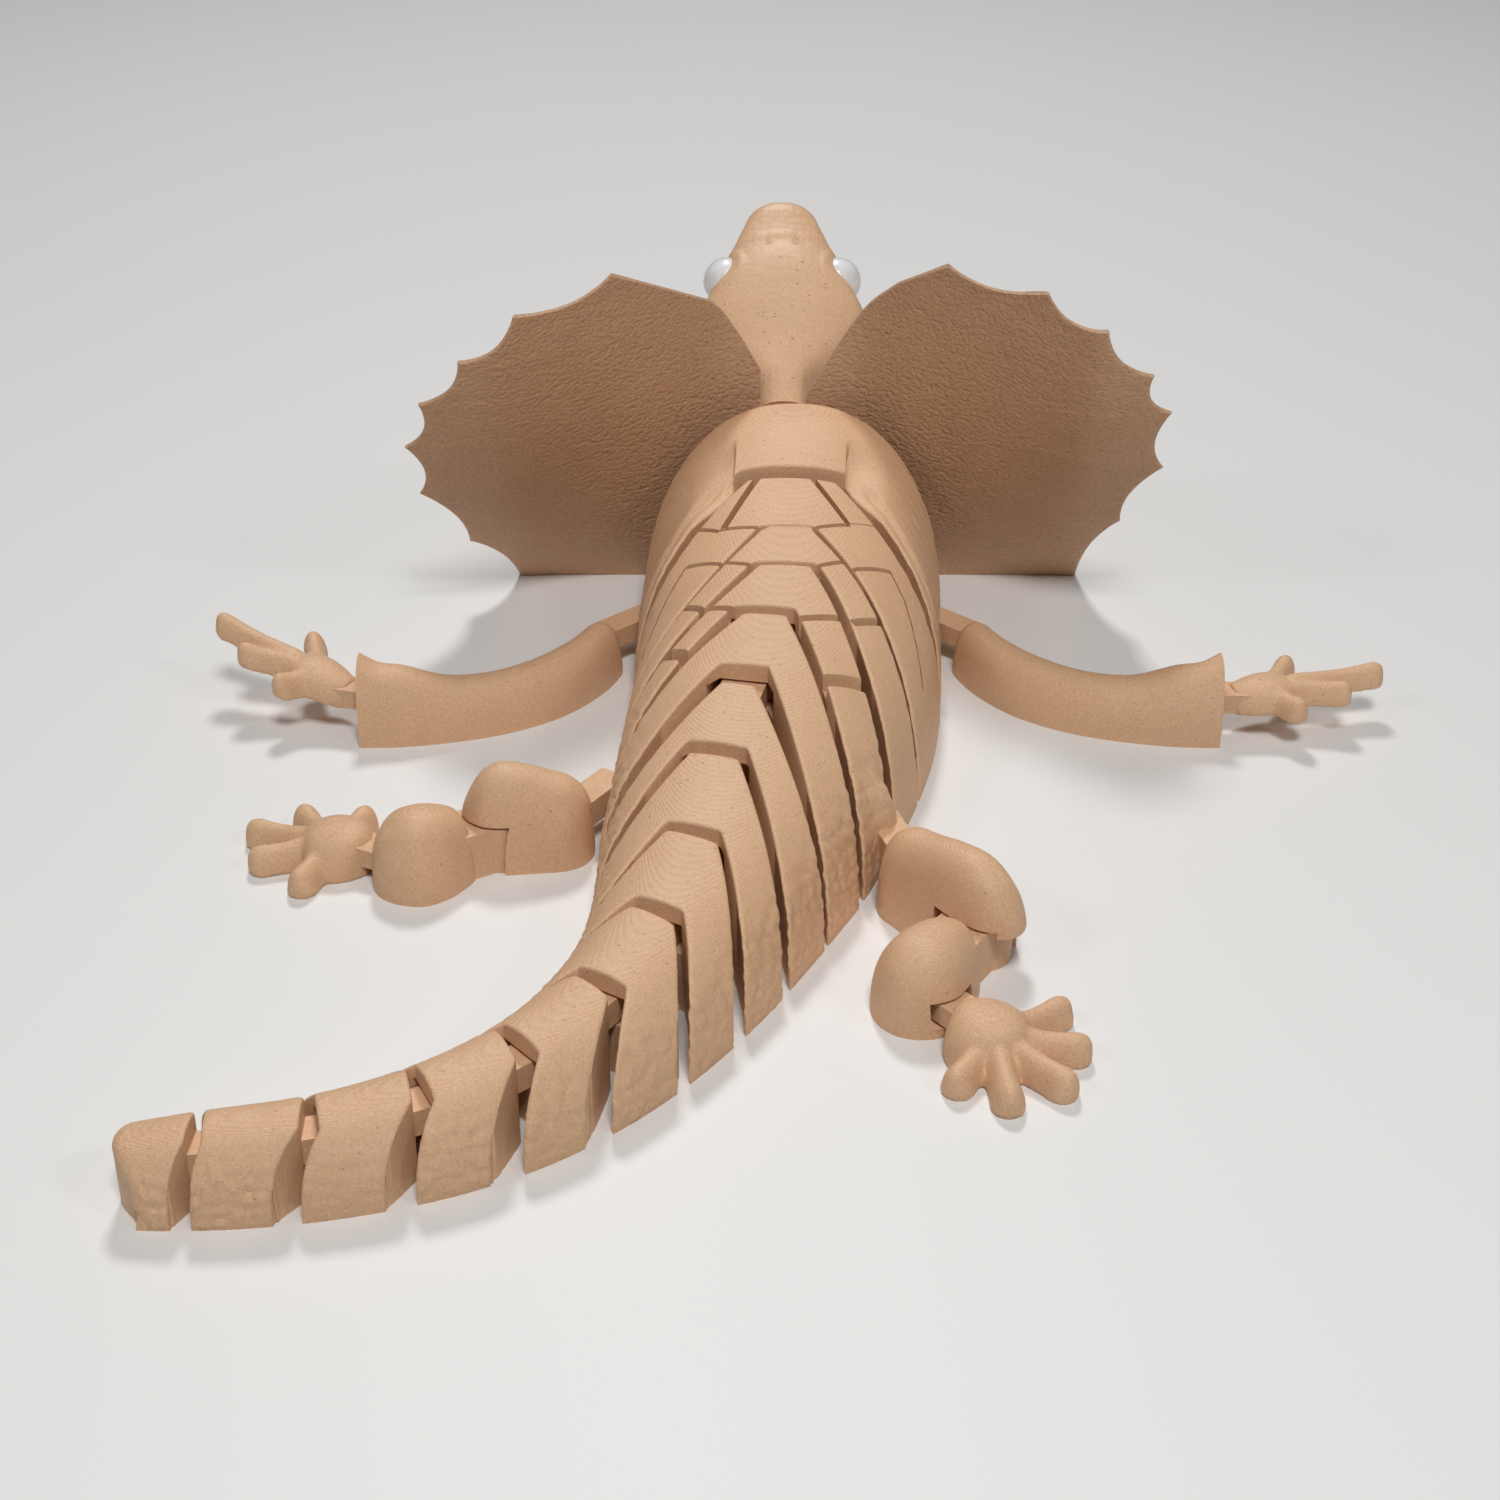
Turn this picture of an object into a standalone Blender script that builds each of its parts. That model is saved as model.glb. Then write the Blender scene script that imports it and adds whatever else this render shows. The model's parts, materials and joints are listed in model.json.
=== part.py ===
"""Articulated toy lizard with a frill, printed in place from tan plastic.

The body is one loaf-shaped solid, bent along a curved centre line and parted by chevron gaps into
links.  Each link is hinged to the one before it by a flat tongue in a slot, on an upright pin.  The
arms and legs are hinged in the same way.  Sizes are in millimetres; MM turns them into metres.

The plan is laid out with +Y towards the head and +X to the right.  Along the body, s runs from the
back edge of the chest towards the tail, and x runs across it, positive to the right.
"""

import math

import bpy
import numpy as np
from mathutils import Matrix, Vector

MM = 0.001

# ---- The body's centre line -------------------------------------------------------------------
SPINE_START = (-1.7, -25.5)  # plan position of the chest's back edge
LINK_LENGTHS = (18.4, 13.0, 15.0, 18.0, 19.5, 18.6, 17.7, 17.2, 15.7, 14.5, 14.3, 14.5, 12.0)
HEADINGS = (3.0, 2.0, 4.0, 10.0, 12.0, 12.5, 14.0, 21.0, 34.0, 49.0, 64.0, 76.0, 85.0, 89.0)
CHEST_FRONT = -21.5  # s of the chest's front face
CENTRE_STEP = 0.5  # spacing of the points that trace the centre line
CENTRE_FROM, CENTRE_TO = -40.0, 230.0  # the s where the traced line starts and ends

# ---- The body's cross-section: (s, size) knots ---------------------------------------------------
HALF_WIDTHS = (
    (-30.0, 27.0), (-15.0, 28.0), (0.0, 28.0), (33.0, 27.2), (49.0, 26.5), (65.0, 25.2),
    (78.0, 23.6), (89.0, 21.8), (99.0, 19.4), (109.0, 17.0), (130.0, 12.7), (143.0, 10.9),
    (158.0, 9.4), (172.0, 8.2), (185.0, 7.5), (198.0, 7.0), (209.0, 6.3),
)
CHEST_HEIGHTS = ((-30.0, 37.6), (-20.0, 38.5), (-12.0, 38.4), (-5.0, 37.0), (2.0, 35.0), (30.0, 33.0))
HEIGHTS = (
    (-10.0, 33.6), (0.0, 33.0), (19.0, 31.2), (33.0, 30.3), (49.0, 29.0), (65.5, 27.4), (84.5, 23.7),
    (102.8, 20.3), (120.6, 18.0), (137.6, 16.5), (153.3, 15.0), (167.8, 14.0), (182.0, 13.0),
    (196.6, 12.3), (209.0, 10.4),
)
LEFT_SHARES = (  # the left half-width as a share of the right one
    (-30.0, 1.0), (20.0, 1.0), (50.0, 0.97), (75.0, 0.92), (105.0, 0.92), (130.0, 0.97), (150.0, 1.0),
    (209.0, 1.0),
)
ROUNDNESS = 2.35  # power of the superellipse that shapes the cross-section
COLUMN_LEVELS = (0.0, 0.38, 0.64, 0.81, 0.92, 0.975)  # heights of the columns of points on its sides
CHEST_ROWS, LINK_ROWS = 5, 4
WALL_ROUNDS = 12  # repeats that settle the points of a swept wall onto the cross-section

# ---- The chevron gaps, from the chest to the tail ------------------------------------------------
# Each gap lies between the back wall of one link (the notch) and the front wall of the next (the nose).
# notch, nose: how far the wall's flat middle reaches to the left and to the right; before, after: how
# fast the two walls sweep back beyond it, left and right; tilt, fan: their lean across the body;
# step: from the one wall to the other along the middle
GAPS = (
    dict(step=1.4, notch=(10.0, 10.0), nose=(8.0, 8.0),
         before=(1.45, 1.45), after=(1.45, 1.45), tilt=0.0, fan=0.02),
    dict(step=1.2, notch=(5.2, 4.4), nose=(4.9, 4.0),
         before=(1.8, 1.72), after=(1.8, 1.72), tilt=0.0, fan=0.0),
    dict(step=1.1, notch=(5.9, 5.3), nose=(4.7, 4.1),
         before=(1.85, 2.05), after=(1.9, 2.12), tilt=0.0, fan=0.0),
    dict(step=2.4, notch=(7.4, 3.0), nose=(5.2, 2.0),
         before=(2.1, 2.1), after=(1.85, 2.03), tilt=0.0, fan=0.0),
    dict(step=5.2, notch=(6.0, 2.0), nose=(4.6, 1.0),
         before=(1.9, 2.07), after=(2.05, 1.67), tilt=0.0, fan=0.09),
    dict(step=2.7, notch=(7.0, 2.9), nose=(5.8, 2.2),
         before=(2.3, 1.92), after=(2.3, 1.85), tilt=0.1, fan=0.1),
    dict(step=2.3, notch=(5.5, 3.2), nose=(5.0, 3.5),
         before=(2.4, 1.72), after=(2.4, 1.8), tilt=0.12, fan=0.2),
    dict(step=2.7, notch=(4.6, 3.4), nose=(4.2, 3.5),
         before=(1.55, 1.4), after=(1.5, 1.3), tilt=0.15, fan=0.25),
    dict(step=2.4, notch=(4.2, 4.2), nose=(3.5, 3.5),
         before=(1.5, 1.5), after=(1.45, 1.45), tilt=0.0, fan=0.15),
    dict(step=2.3, notch=(4.2, 4.2), nose=(3.6, 3.6),
         before=(1.1, 1.1), after=(1.1, 1.1), tilt=0.0, fan=0.19),
    dict(step=2.0, notch=(4.0, 4.0), nose=(3.4, 3.4),
         before=(0.95, 0.95), after=(0.95, 0.95), tilt=0.0, fan=0.17),
    dict(step=1.9, notch=(3.8, 3.8), nose=(3.2, 3.2),
         before=(0.85, 0.85), after=(0.85, 0.85), tilt=0.0, fan=0.16),
    dict(step=1.8, notch=(3.4, 3.4), nose=(3.0, 3.0),
         before=(0.5, 0.5), after=(0.5, 0.5), tilt=0.0, fan=0.12),
)
CHEST_FLAT = (6.0, 6.0)  # the flat middle of the chest's front wall
TAIL_FLAT = (2.0, 2.0)  # and of the tail's end
TAIL_END_ROUNDING = 3.0  # how far the tail's end curves back at its sides

# ---- Hinges ------------------------------------------------------------------------------------
WIDE_TONGUE = 5.0  # radius of a tongue's round end in the front of the body
SLIM_TONGUE = 3.4  # and in the tail
WIDE_GAPS = (3, 4, 5, 6)  # the gaps that have the wide tongue
TONGUE_THICKNESS = 4.0
TONGUE_DEPTH = 3.6  # from the body's top down to the tongue's top
TONGUE_ROOT = 3.0  # how far the tongue reaches into its own link
TONGUE_WAIST = 0.72  # half-width of a tongue as a share of its round end's radius
PIN_SETBACK = 1.0  # from the round end to the link's back wall
SLOT_CLEARANCE = 0.5
SLOT_REACH = 10.0  # how far a slot is cut beyond its round end
PIN_RADIUS = 1.4
PIN_CLEARANCE = 0.4
ROUND_SIDES = 20

# ---- Chest front, head and frill -----------------------------------------------------------------
CHEST_SWEEP = 10.0  # how far the front face curves back at its sides
CHEST_SWEEP_POWER = 2.2
NECK_PIN = (-3.0, -11.0)
NECK_HALF_WIDTH = 4.6
NECK_PROFILE = ((-1.6, 9.0), (6.0, 9.0), (12.0, 14.0), (24.0, 34.0), (22.0, 44.0), (0.0, 36.5), (-1.6, 36.5))
NECK_TONGUE = (14.0, 19.0)
NECK_SLOT_REACH = 14.0
HEAD_ROOT = (-3.0, 0.4, 37.6)
HEAD_PITCH = 30.0
HEAD_SIDES = 20
# along the head: distance, half-width, height of the top over the axis, depth under the axis
HEAD_SECTIONS = (
    (-0.6, 4.4, -0.6, 10.0), (5.0, 5.4, 0.0, 13.5), (10.0, 9.4, 0.1, 15.5), (15.0, 14.2, 0.3, 16.8),
    (20.0, 16.8, 0.6, 17.5), (25.0, 16.2, 0.9, 17.0), (30.0, 13.9, 1.1, 16.0), (35.0, 11.8, 0.9, 14.6),
    (39.0, 10.6, 0.2, 13.4), (42.0, 9.6, -1.2, 12.4), (46.0, 8.0, -1.5, 11.4), (49.5, 6.4, -1.6, 10.6),
    (51.6, 4.6, -2.2, 9.8),
)
HEAD_WIDEST = 0.42  # how far down the widest level of a section lies
HEAD_POWER = 2.5
EYE_RADIUS = 4.7
BALL_SIDES = (12, 8)  # round a ball, and from pole to pole
EYE_ALONG, EYE_ACROSS, EYE_UNDER = 32.8, 11.0, 4.8
FIT = 0.3  # gap between pieces that touch
SHARP_ANGLE = 38.0

FRILL_X, FRILL_Y = -1.5, 1.2
FRILL_THICKNESS = 1.6
FRILL_TIPS = {  # distance from the frill's middle and height, from the top round to the floor
    "right": ((27.7, 68.8), (43.7, 69.3), (53.4, 65.0), (62.2, 56.1), (66.4, 48.0), (67.0, 34.7),
              (61.8, 19.4), (56.6, 0.0)),
    "left": ((32.6, 68.7), (48.6, 66.6), (58.4, 58.9), (66.2, 49.8), (69.8, 39.8), (68.8, 27.5),
             (61.6, 12.8), (53.6, 0.0)),
}
LOBE_CENTRE = (27.0, 33.5)
SCALLOP_DEPTH = 2.2
SCALLOP_STEPS = 4
INNER_EDGE = ((19.5, 62.5), (14.3, 57.0), (9.0, 48.3), (5.0, 41.0), (2.0, 37.0), (2.0, 0.0))
FRILL_ROWS = 6
SCALLOP_POWER = 0.8  # below 1 the hollows between the tips are rounder
NECK_CUT = (-8.0, 14.0, -4.0, 60.0)  # y and z range of the gap that keeps the frill off the neck
LEAN_START, LEAN_SPAN = 12.0, 40.0
LEAN_LINEAR, LEAN_SQUARE = 0.98, 0.0055

# ---- Limbs ---------------------------------------------------------------------------------------
BODY_CENTRE_X = -2.5
LIMB_ROUNDNESS = 2.4
LIMB_LEVELS = (0.0, 0.45, 0.75, 0.93)
DIGIT_LEVELS = (0.0, 0.5, 0.85)
LIMB_TONGUE = 3.6  # radius of a limb tongue's round end
LIMB_TONGUE_HALF_WIDTH = 2.6
LIMB_SLOT_REACH = 18.0
LIMB_ROOT = 3.0  # how far a limb's tongue reaches into its own piece
KNEE_TONGUE = 5.2
KNEE_WAIST = 0.8  # half-width of the knee's tongue as a share of its radius
CLEAR_LEVELS = (-5.0, 40.0)  # below and above every limb
SHOULDER = (21.0, -25.0)  # measured from the body's centre, mirrored for the left
SHOULDER_LEVELS = (4.0, 7.5)
WRIST = (70.0, -62.4)
WRIST_LEVELS = (5.0, 8.5)
# x from the body's centre, y, half-width, height
ARM = (
    (32.9, -36.4, 3.9, 8.4), (37.0, -45.5, 4.6, 9.0), (44.0, -54.0, 5.0, 9.4), (52.0, -59.0, 5.0, 9.5),
    (62.0, -61.8, 5.2, 10.5), (69.0, -62.4, 5.7, 13.6), (74.6, -62.4, 5.8, 15.0),
)
HAND_TURNS = {"right": 0.0, "left": -15.0}  # the left hand points further forward
HAND_SLOPES = {"right": 0.06, "left": 0.27}  # and climbs more steeply
HAND_DROP = 0.4  # how far the hand hangs below its tongue
PALM = ((76.8, -62.3, 3.0, 4.4), (81.0, -61.4, 4.8, 5.0), (88.5, -59.5, 5.4, 4.6))
FINGERS = (
    ((86.0, -59.8), (104.6, -56.0)), ((86.0, -60.4), (97.8, -62.8)),
    ((83.0, -61.5), (88.5, -68.8)), ((84.0, -59.5), (89.0, -50.2)),
)
FINGER = (2.9, 2.5, 4.6)  # half-width at the root and the tip, height

HIPS = {"right": (16.4, -118.6), "left": (-39.0, -101.8)}
HIP_ROOTS = {"right": (11.8, -104.0), "left": (-32.0, -91.0)}  # where their tongues leave the body
KNEES = {"right": (24.9, -130.2), "left": (-49.4, -103.0)}
ANKLES = {"right": (15.6, -144.6), "left": (-62.2, -110.8)}
PALMS = {"right": (25.0, -156.0), "left": (-76.0, -104.5)}
TOES = {
    "right": ((36.8, -146.8), (39.0, -157.0), (35.6, -166.3), (26.3, -170.3), (18.1, -165.9)),
    "left": ((-71.6, -93.3), (-83.1, -93.0), (-90.9, -98.6), (-89.2, -108.0), (-80.5, -115.8)),
}
HIP_LINK = 3
HIP_ROOT = 0.8  # how far a hip's tongue runs into its link
HIP_LEVELS = (3.8, 8.2)
KNEE_LEVELS = (0.0, 8.0)
ANKLE_LEVELS = (2.2, 5.4)
# along from the first hinge as a share of the way to the next, half-width, height
THIGH = ((-0.44, 5.8, 13.5), (0.1, 6.0, 14.5), (0.55, 6.0, 16.2), (1.0, 6.0, 16.8), (1.6, 4.6, 12.0))
SHIN = ((0.3, 3.8, 9.0), (0.55, 5.4, 11.5), (0.8, 7.0, 12.8), (1.0, 7.4, 13.0), (1.45, 6.6, 11.0))
TOE = (3.0, 2.8, 6.4)
FOOT = ((-7.5, 5.0), (0.0, 7.0), (5.0, 6.0))  # distance from the middle of the foot, half-width
FOOT_HEIGHT = 7.0
KNEE_CLEARANCE = 7.3  # radius of the round hollow about the knee
ANKLE_CLEARANCE = 8.2  # and about the ankle
END_ROWS = (0.0, 0.1, 0.4, 1.0)  # where rows of points lie on a round end, as shares of its radius
ROW_MARGIN = 0.5  # least distance from a round end to the next row
END_STUB = 0.22  # the smallest share of the width that an end keeps
END_DROP = 0.4  # power by which its height falls with its width

TAN = (0.72, 0.45, 0.26)
WHITE = (0.86, 0.86, 0.84)


# ---- Small tools --------------------------------------------------------------------------------
def material(name, colour, roughness):
    """A plain plastic."""
    made = bpy.data.materials.get(name) or bpy.data.materials.new(name)
    made.use_nodes = True
    made.diffuse_color = (*colour, 1.0)
    shader = made.node_tree.nodes["Principled BSDF"]
    shader.inputs["Base Color"].default_value = (*colour, 1.0)
    shader.inputs["Roughness"].default_value = roughness
    shader.inputs["Metallic"].default_value = 0.0
    return made


def smooth(knots, where):
    """A smooth curve through the knots: cubic pieces whose slopes come from each knot's neighbours."""
    at, values = np.array(knots, float).T
    slopes = np.gradient(values, at)
    where = np.clip(np.asarray(where, float), at[0], at[-1])
    piece = np.clip(np.searchsorted(at, where) - 1, 0, len(at) - 2)
    span = at[piece + 1] - at[piece]
    t = (where - at[piece]) / span
    start = (2 * t**3 - 3 * t**2 + 1) * values[piece] + (t**3 - 2 * t**2 + t) * span * slopes[piece]
    end = (3 * t**2 - 2 * t**3) * values[piece + 1] + (t**3 - t**2) * span * slopes[piece + 1]
    return start + end


def new_object(name, points, faces, pivot=(0.0, 0.0, 0.0)):
    """A mesh object from points in millimetres, with its origin on its hinge."""
    mesh = bpy.data.meshes.new(name)
    local = (np.asarray(points, float) - np.asarray(pivot, float)) * MM
    mesh.from_pydata(local.tolist(), [], [tuple(int(i) for i in face) for face in faces])
    mesh.validate()
    made = bpy.data.objects.new(name, mesh)
    made.location = Vector(pivot) * MM
    bpy.context.scene.collection.objects.link(made)
    return made


def combine(target, other, operation):
    """Join a piece to the target, or cut it away, and take the other object out of the scene."""
    modifier = target.modifiers.new("combine", "BOOLEAN")
    modifier.operation = operation
    modifier.solver = "EXACT"
    modifier.object = other
    bpy.context.view_layer.update()
    shaped = target.evaluated_get(bpy.context.evaluated_depsgraph_get())
    mesh = bpy.data.meshes.new_from_object(shaped)
    target.modifiers.clear()
    target.data = mesh
    bpy.data.objects.remove(other)


def join(target, other):
    combine(target, other, "UNION")


def cut(target, other):
    combine(target, other, "DIFFERENCE")


def prism(outline, low, high):
    """An upright solid over a plan outline that runs anticlockwise."""
    count = len(outline)
    points = [(x, y, low) for x, y in outline] + [(x, y, high) for x, y in outline]
    walls = [(i, (i + 1) % count, count + (i + 1) % count, count + i) for i in range(count)]
    caps = [tuple(reversed(range(count))), tuple(range(count, 2 * count))]
    return new_object("prism", points, walls + caps)


def turned(points, angle, centre):
    """Plan points turned anticlockwise about a centre."""
    x, y = np.asarray(points, float).T
    c, s = math.cos(angle), math.sin(angle)
    return np.column_stack([centre[0] + c * x - s * y, centre[1] + s * x + c * y])


def disc(radius, centre):
    """A round outline."""
    angles = np.linspace(0.0, 2.0 * math.pi, ROUND_SIDES, endpoint=False)
    return np.column_stack([centre[0] + radius * np.cos(angles), centre[1] + radius * np.sin(angles)])


def stadium(radius, half_width, reach, angle, centre):
    """A round end about the centre, carried on as a straight bar that points along the angle."""
    shoulder = math.asin(min(1.0, half_width / radius))
    arc = np.linspace(shoulder, 2.0 * math.pi - shoulder, ROUND_SIDES - 3)
    points = [(radius * math.cos(a), radius * math.sin(a)) for a in arc]
    points += [(reach, -half_width), (reach, half_width)]
    return turned(points, angle, centre)


def shade(piece):
    """Smooth shading across gentle bends, sharp edges elsewhere."""
    for polygon in piece.data.polygons:
        polygon.use_smooth = True
    piece.data.set_sharp_from_angle(angle=math.radians(SHARP_ANGLE))


# ---- The body's curved space ---------------------------------------------------------------------
def stations():
    """The s of each gap, and of the tail's end."""
    return np.concatenate([[0.0], np.cumsum(LINK_LENGTHS)])


def heading(s):
    """Direction of the tail in radians, from -Y towards -X."""
    knots = [(-30.0, 0.0)] + list(zip(stations(), HEADINGS))
    return np.radians(smooth(knots, s))


def centre_table():
    """Centre-line points at even steps, summed from the heading outwards from the chest's edge."""
    s = np.arange(CENTRE_FROM, CENTRE_TO, CENTRE_STEP)
    turn = heading(s + CENTRE_STEP / 2)
    steps = np.column_stack([-np.sin(turn), -np.cos(turn)]) * CENTRE_STEP
    places = np.concatenate([[[0.0, 0.0]], np.cumsum(steps, axis=0)[:-1]])
    zero = int(round(-CENTRE_FROM / CENTRE_STEP))
    return s, places - places[zero] + SPINE_START


def bent(s, x):
    """Plan position of the point at s along the body and x across it."""
    table_s, places = centre_table()
    s, x = np.broadcast_arrays(np.asarray(s, float), np.asarray(x, float))
    turn = heading(s)
    px = np.interp(s, table_s, places[:, 0]) + x * np.cos(turn)
    py = np.interp(s, table_s, places[:, 1]) - x * np.sin(turn)
    return px, py


def half_width(s, x):
    """The body's half-width at s, on the side of x."""
    return smooth(HALF_WIDTHS, s) * np.where(np.asarray(x) < 0.0, smooth(LEFT_SHARES, s), 1.0)


def swept_wall(start, lean, flat, slopes):
    """A wall across the body as a function of x: flat in the middle and swept back on either side."""
    (left, right), (left_slope, right_slope) = flat, slopes
    return lambda x: (
        start + lean * x + left_slope * np.maximum(-x - left, 0.0) + right_slope * np.maximum(x - right, 0.0)
    )


def notch_wall(gap):
    """Back wall of the link before a gap."""
    data = GAPS[gap]
    return swept_wall(stations()[gap], data["tilt"], data["notch"], data["before"])


def nose_wall(gap):
    """Front wall of the link after a gap."""
    data = GAPS[gap]
    return swept_wall(stations()[gap] + data["step"], data["fan"], data["nose"], data["after"])


def chest_wall(x):
    """The chest's front face."""
    return CHEST_FRONT + CHEST_SWEEP * (np.abs(x) / HALF_WIDTHS[1][1]) ** CHEST_SWEEP_POWER


def tail_wall(x):
    """The tail's rounded end."""
    return stations()[-1] - TAIL_END_ROUNDING * (x / HALF_WIDTHS[-1][1]) ** 2


def link(name, front, back, front_flat, back_flat, heights, rows, pivot):
    """A length of the body between two walls.

    Columns run from front to back at even shares of the height, so that they sit close together low
    on the sides; three more follow the flat middle of the walls, so that their corners stay sharp.
    """
    levels = np.array(COLUMN_LEVELS)
    along = np.linspace(0.0, 1.0, rows)
    flats = [start + (end - start) * along for start, end in zip(front_flat, back_flat)]
    grid_s = np.zeros((2 * len(levels) + 3, rows))
    grid_x = np.zeros_like(grid_s)
    for column in range(len(grid_s)):
        side = column - (len(levels) + 1)
        flat = flats[1] if side > 0 else flats[0]
        s = np.full(rows, 0.5 * (front(0.0) + back(0.0)))
        for _ in range(WALL_ROUNDS):
            width = half_width(s, side)
            top = (1.0 - (flat / width) ** ROUNDNESS) ** (1.0 / ROUNDNESS)
            if side == 0:
                x = 0.5 * (flats[1] - flats[0])
            elif abs(side) == 1:
                x = flat * side
            else:
                level = top * levels[len(levels) + 1 - abs(side)]
                x = math.copysign(1.0, side) * width * (1.0 - level**ROUNDNESS) ** (1.0 / ROUNDNESS)
            s = front(x) + (back(x) - front(x)) * along
        grid_s[column], grid_x[column] = s, x
    width = half_width(grid_s, grid_x)
    share = np.clip(1.0 - (np.abs(grid_x) / width) ** ROUNDNESS, 0.0, 1.0)
    grid_z = smooth(heights, grid_s) * share ** (1.0 / ROUNDNESS)
    grid_z[0] = grid_z[-1] = 0.0
    px, py = bent(grid_s, grid_x)
    return shell(name, px, py, grid_z, pivot)


def shell(name, px, py, pz, pivot):
    """A closed solid under a grid whose first and last columns lie on the floor."""
    columns, rows = px.shape
    top = np.column_stack([px.ravel(), py.ravel(), pz.ravel()])
    ends = [(column, row) for row in (0, rows - 1) for column in range(1, columns - 1)]
    floor = {pair: len(top) + i for i, pair in enumerate(ends)}
    low = np.array([(px[pair], py[pair], 0.0) for pair in ends])
    for row in range(rows):
        for column in (0, columns - 1):
            floor[column, row] = column * rows + row

    def up(column, row):
        return column * rows + row

    faces = [
        (up(c, r), up(c + 1, r), up(c + 1, r + 1), up(c, r + 1))
        for c in range(columns - 1) for r in range(rows - 1)
    ]
    for c in range(columns - 1):
        for row, flip in ((0, True), (rows - 1, False)):
            wall = [up(c, row), up(c + 1, row), floor[c + 1, row], floor[c, row]]
            wall = [v for i, v in enumerate(wall) if v not in wall[:i]]
            faces.append(tuple(reversed(wall)) if flip else tuple(wall))
    outline = [floor[c, 0] for c in range(columns)]
    outline += [floor[columns - 1, r] for r in range(1, rows)]
    outline += [floor[c, rows - 1] for c in range(columns - 2, -1, -1)]
    outline += [floor[0, r] for r in range(rows - 2, 0, -1)]
    faces.append(tuple(reversed(outline)))
    faces = [tuple(reversed(face)) for face in faces]
    return new_object(name, np.vstack([top, low]), faces, pivot)


# ---- Hinges --------------------------------------------------------------------------------------
def slot(piece, pin, radius, reach, angle, low, high):
    """A slot open towards the angle, with the pin left standing in it."""
    opening = prism(stadium(radius, radius * 0.999, reach, angle, pin), low, high)
    cut(opening, prism(disc(PIN_RADIUS, pin), low - 1.0, high + 1.0))
    cut(piece, opening)


def tongue(piece, pin, radius, half_width, reach, angle, low, high):
    """A flat tongue whose round end turns on the pin, with its root inside the piece."""
    plate = prism(stadium(radius, half_width, reach, angle, pin), low, high)
    cut(plate, prism(disc(PIN_RADIUS + PIN_CLEARANCE, pin), low - 1.0, high + 1.0))
    join(piece, plate)


def tongue_radius(gap):
    """Radius of the round end of the tongue that crosses a gap."""
    return WIDE_TONGUE if gap in WIDE_GAPS else SLIM_TONGUE


def spine_pin(gap):
    """Plan position of a body hinge, and the direction from it to the tail."""
    left, right = GAPS[gap]["notch"]
    s = stations()[gap] - tongue_radius(gap) - PIN_SETBACK
    px, py = bent(s, 0.5 * (right - left))
    turn = float(heading(stations()[gap]))
    return (float(px), float(py)), math.radians(-90.0) - turn


def tongue_levels(gap):
    """Lowest and highest level of the tongue that crosses a gap."""
    top = float(smooth(HEIGHTS, stations()[gap])) - TONGUE_DEPTH
    return top - TONGUE_THICKNESS, top


# ---- The pieces ----------------------------------------------------------------------------------
def body():
    """The chest and the links behind it, each with its hinges."""
    made = []
    count = len(GAPS)
    for index in range(count + 1):
        if index == 0:
            name, heights, pivot = "chest", CHEST_HEIGHTS, (0.0, 0.0, 0.0)
            front, front_flat = chest_wall, CHEST_FLAT
        else:
            name, heights = f"link_{index:02d}", HEIGHTS
            front, front_flat = nose_wall(index - 1), GAPS[index - 1]["nose"]
            pivot = (*spine_pin(index - 1)[0], 0.0)
        if index == count:
            back, back_flat = tail_wall, TAIL_FLAT
        else:
            back, back_flat = notch_wall(index), GAPS[index]["notch"]
        rows = CHEST_ROWS if index == 0 else LINK_ROWS
        piece = link(name, front, back, front_flat, back_flat, heights, rows, pivot)
        if index > 0:
            pin, angle = spine_pin(index - 1)
            low, high = tongue_levels(index - 1)
            radius = tongue_radius(index - 1)
            reach = radius + PIN_SETBACK + GAPS[index - 1]["step"] + TONGUE_ROOT
            tongue(piece, pin, radius, radius * TONGUE_WAIST, reach, angle, low, high)
        if index < count:
            pin, angle = spine_pin(index)
            low, high = tongue_levels(index)
            radius = tongue_radius(index) + SLOT_CLEARANCE
            slot(piece, pin, radius, radius + SLOT_REACH, angle, *grow((low, high)))
        made.append(piece)
    return made


def head_frame():
    """The head's axis and its upward direction."""
    pitch = math.radians(HEAD_PITCH)
    c, s = math.cos(pitch), math.sin(pitch)
    return np.array([0.0, c, s]), np.array([0.0, -s, c])


def eye_centre(side):
    axis, up = head_frame()
    return np.array(HEAD_ROOT) + EYE_ALONG * axis - EYE_UNDER * up + np.array([side * EYE_ACROSS, 0.0, 0.0])


def ball(name, radius, centre):
    """A sphere of quads with triangles at its poles."""
    segments, rings = BALL_SIDES
    points = [(0.0, 0.0, radius)]
    for ring in range(1, rings):
        polar = math.pi * ring / rings
        for step in range(segments):
            turn = 2.0 * math.pi * step / segments
            points.append((radius * math.sin(polar) * math.cos(turn),
                           radius * math.sin(polar) * math.sin(turn), radius * math.cos(polar)))
    points.append((0.0, 0.0, -radius))
    last = len(points) - 1
    faces = [(0, 1 + i, 1 + (i + 1) % segments) for i in range(segments)]
    for ring in range(rings - 2):
        low, high = 1 + ring * segments, 1 + (ring + 1) * segments
        faces += [
            (low + i, high + i, high + (i + 1) % segments, low + (i + 1) % segments)
            for i in range(segments)
        ]
    foot = 1 + (rings - 2) * segments
    faces += [(foot + i, last, foot + (i + 1) % segments) for i in range(segments)]
    return new_object(name, np.array(points) + np.array(centre), faces, centre)


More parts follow.
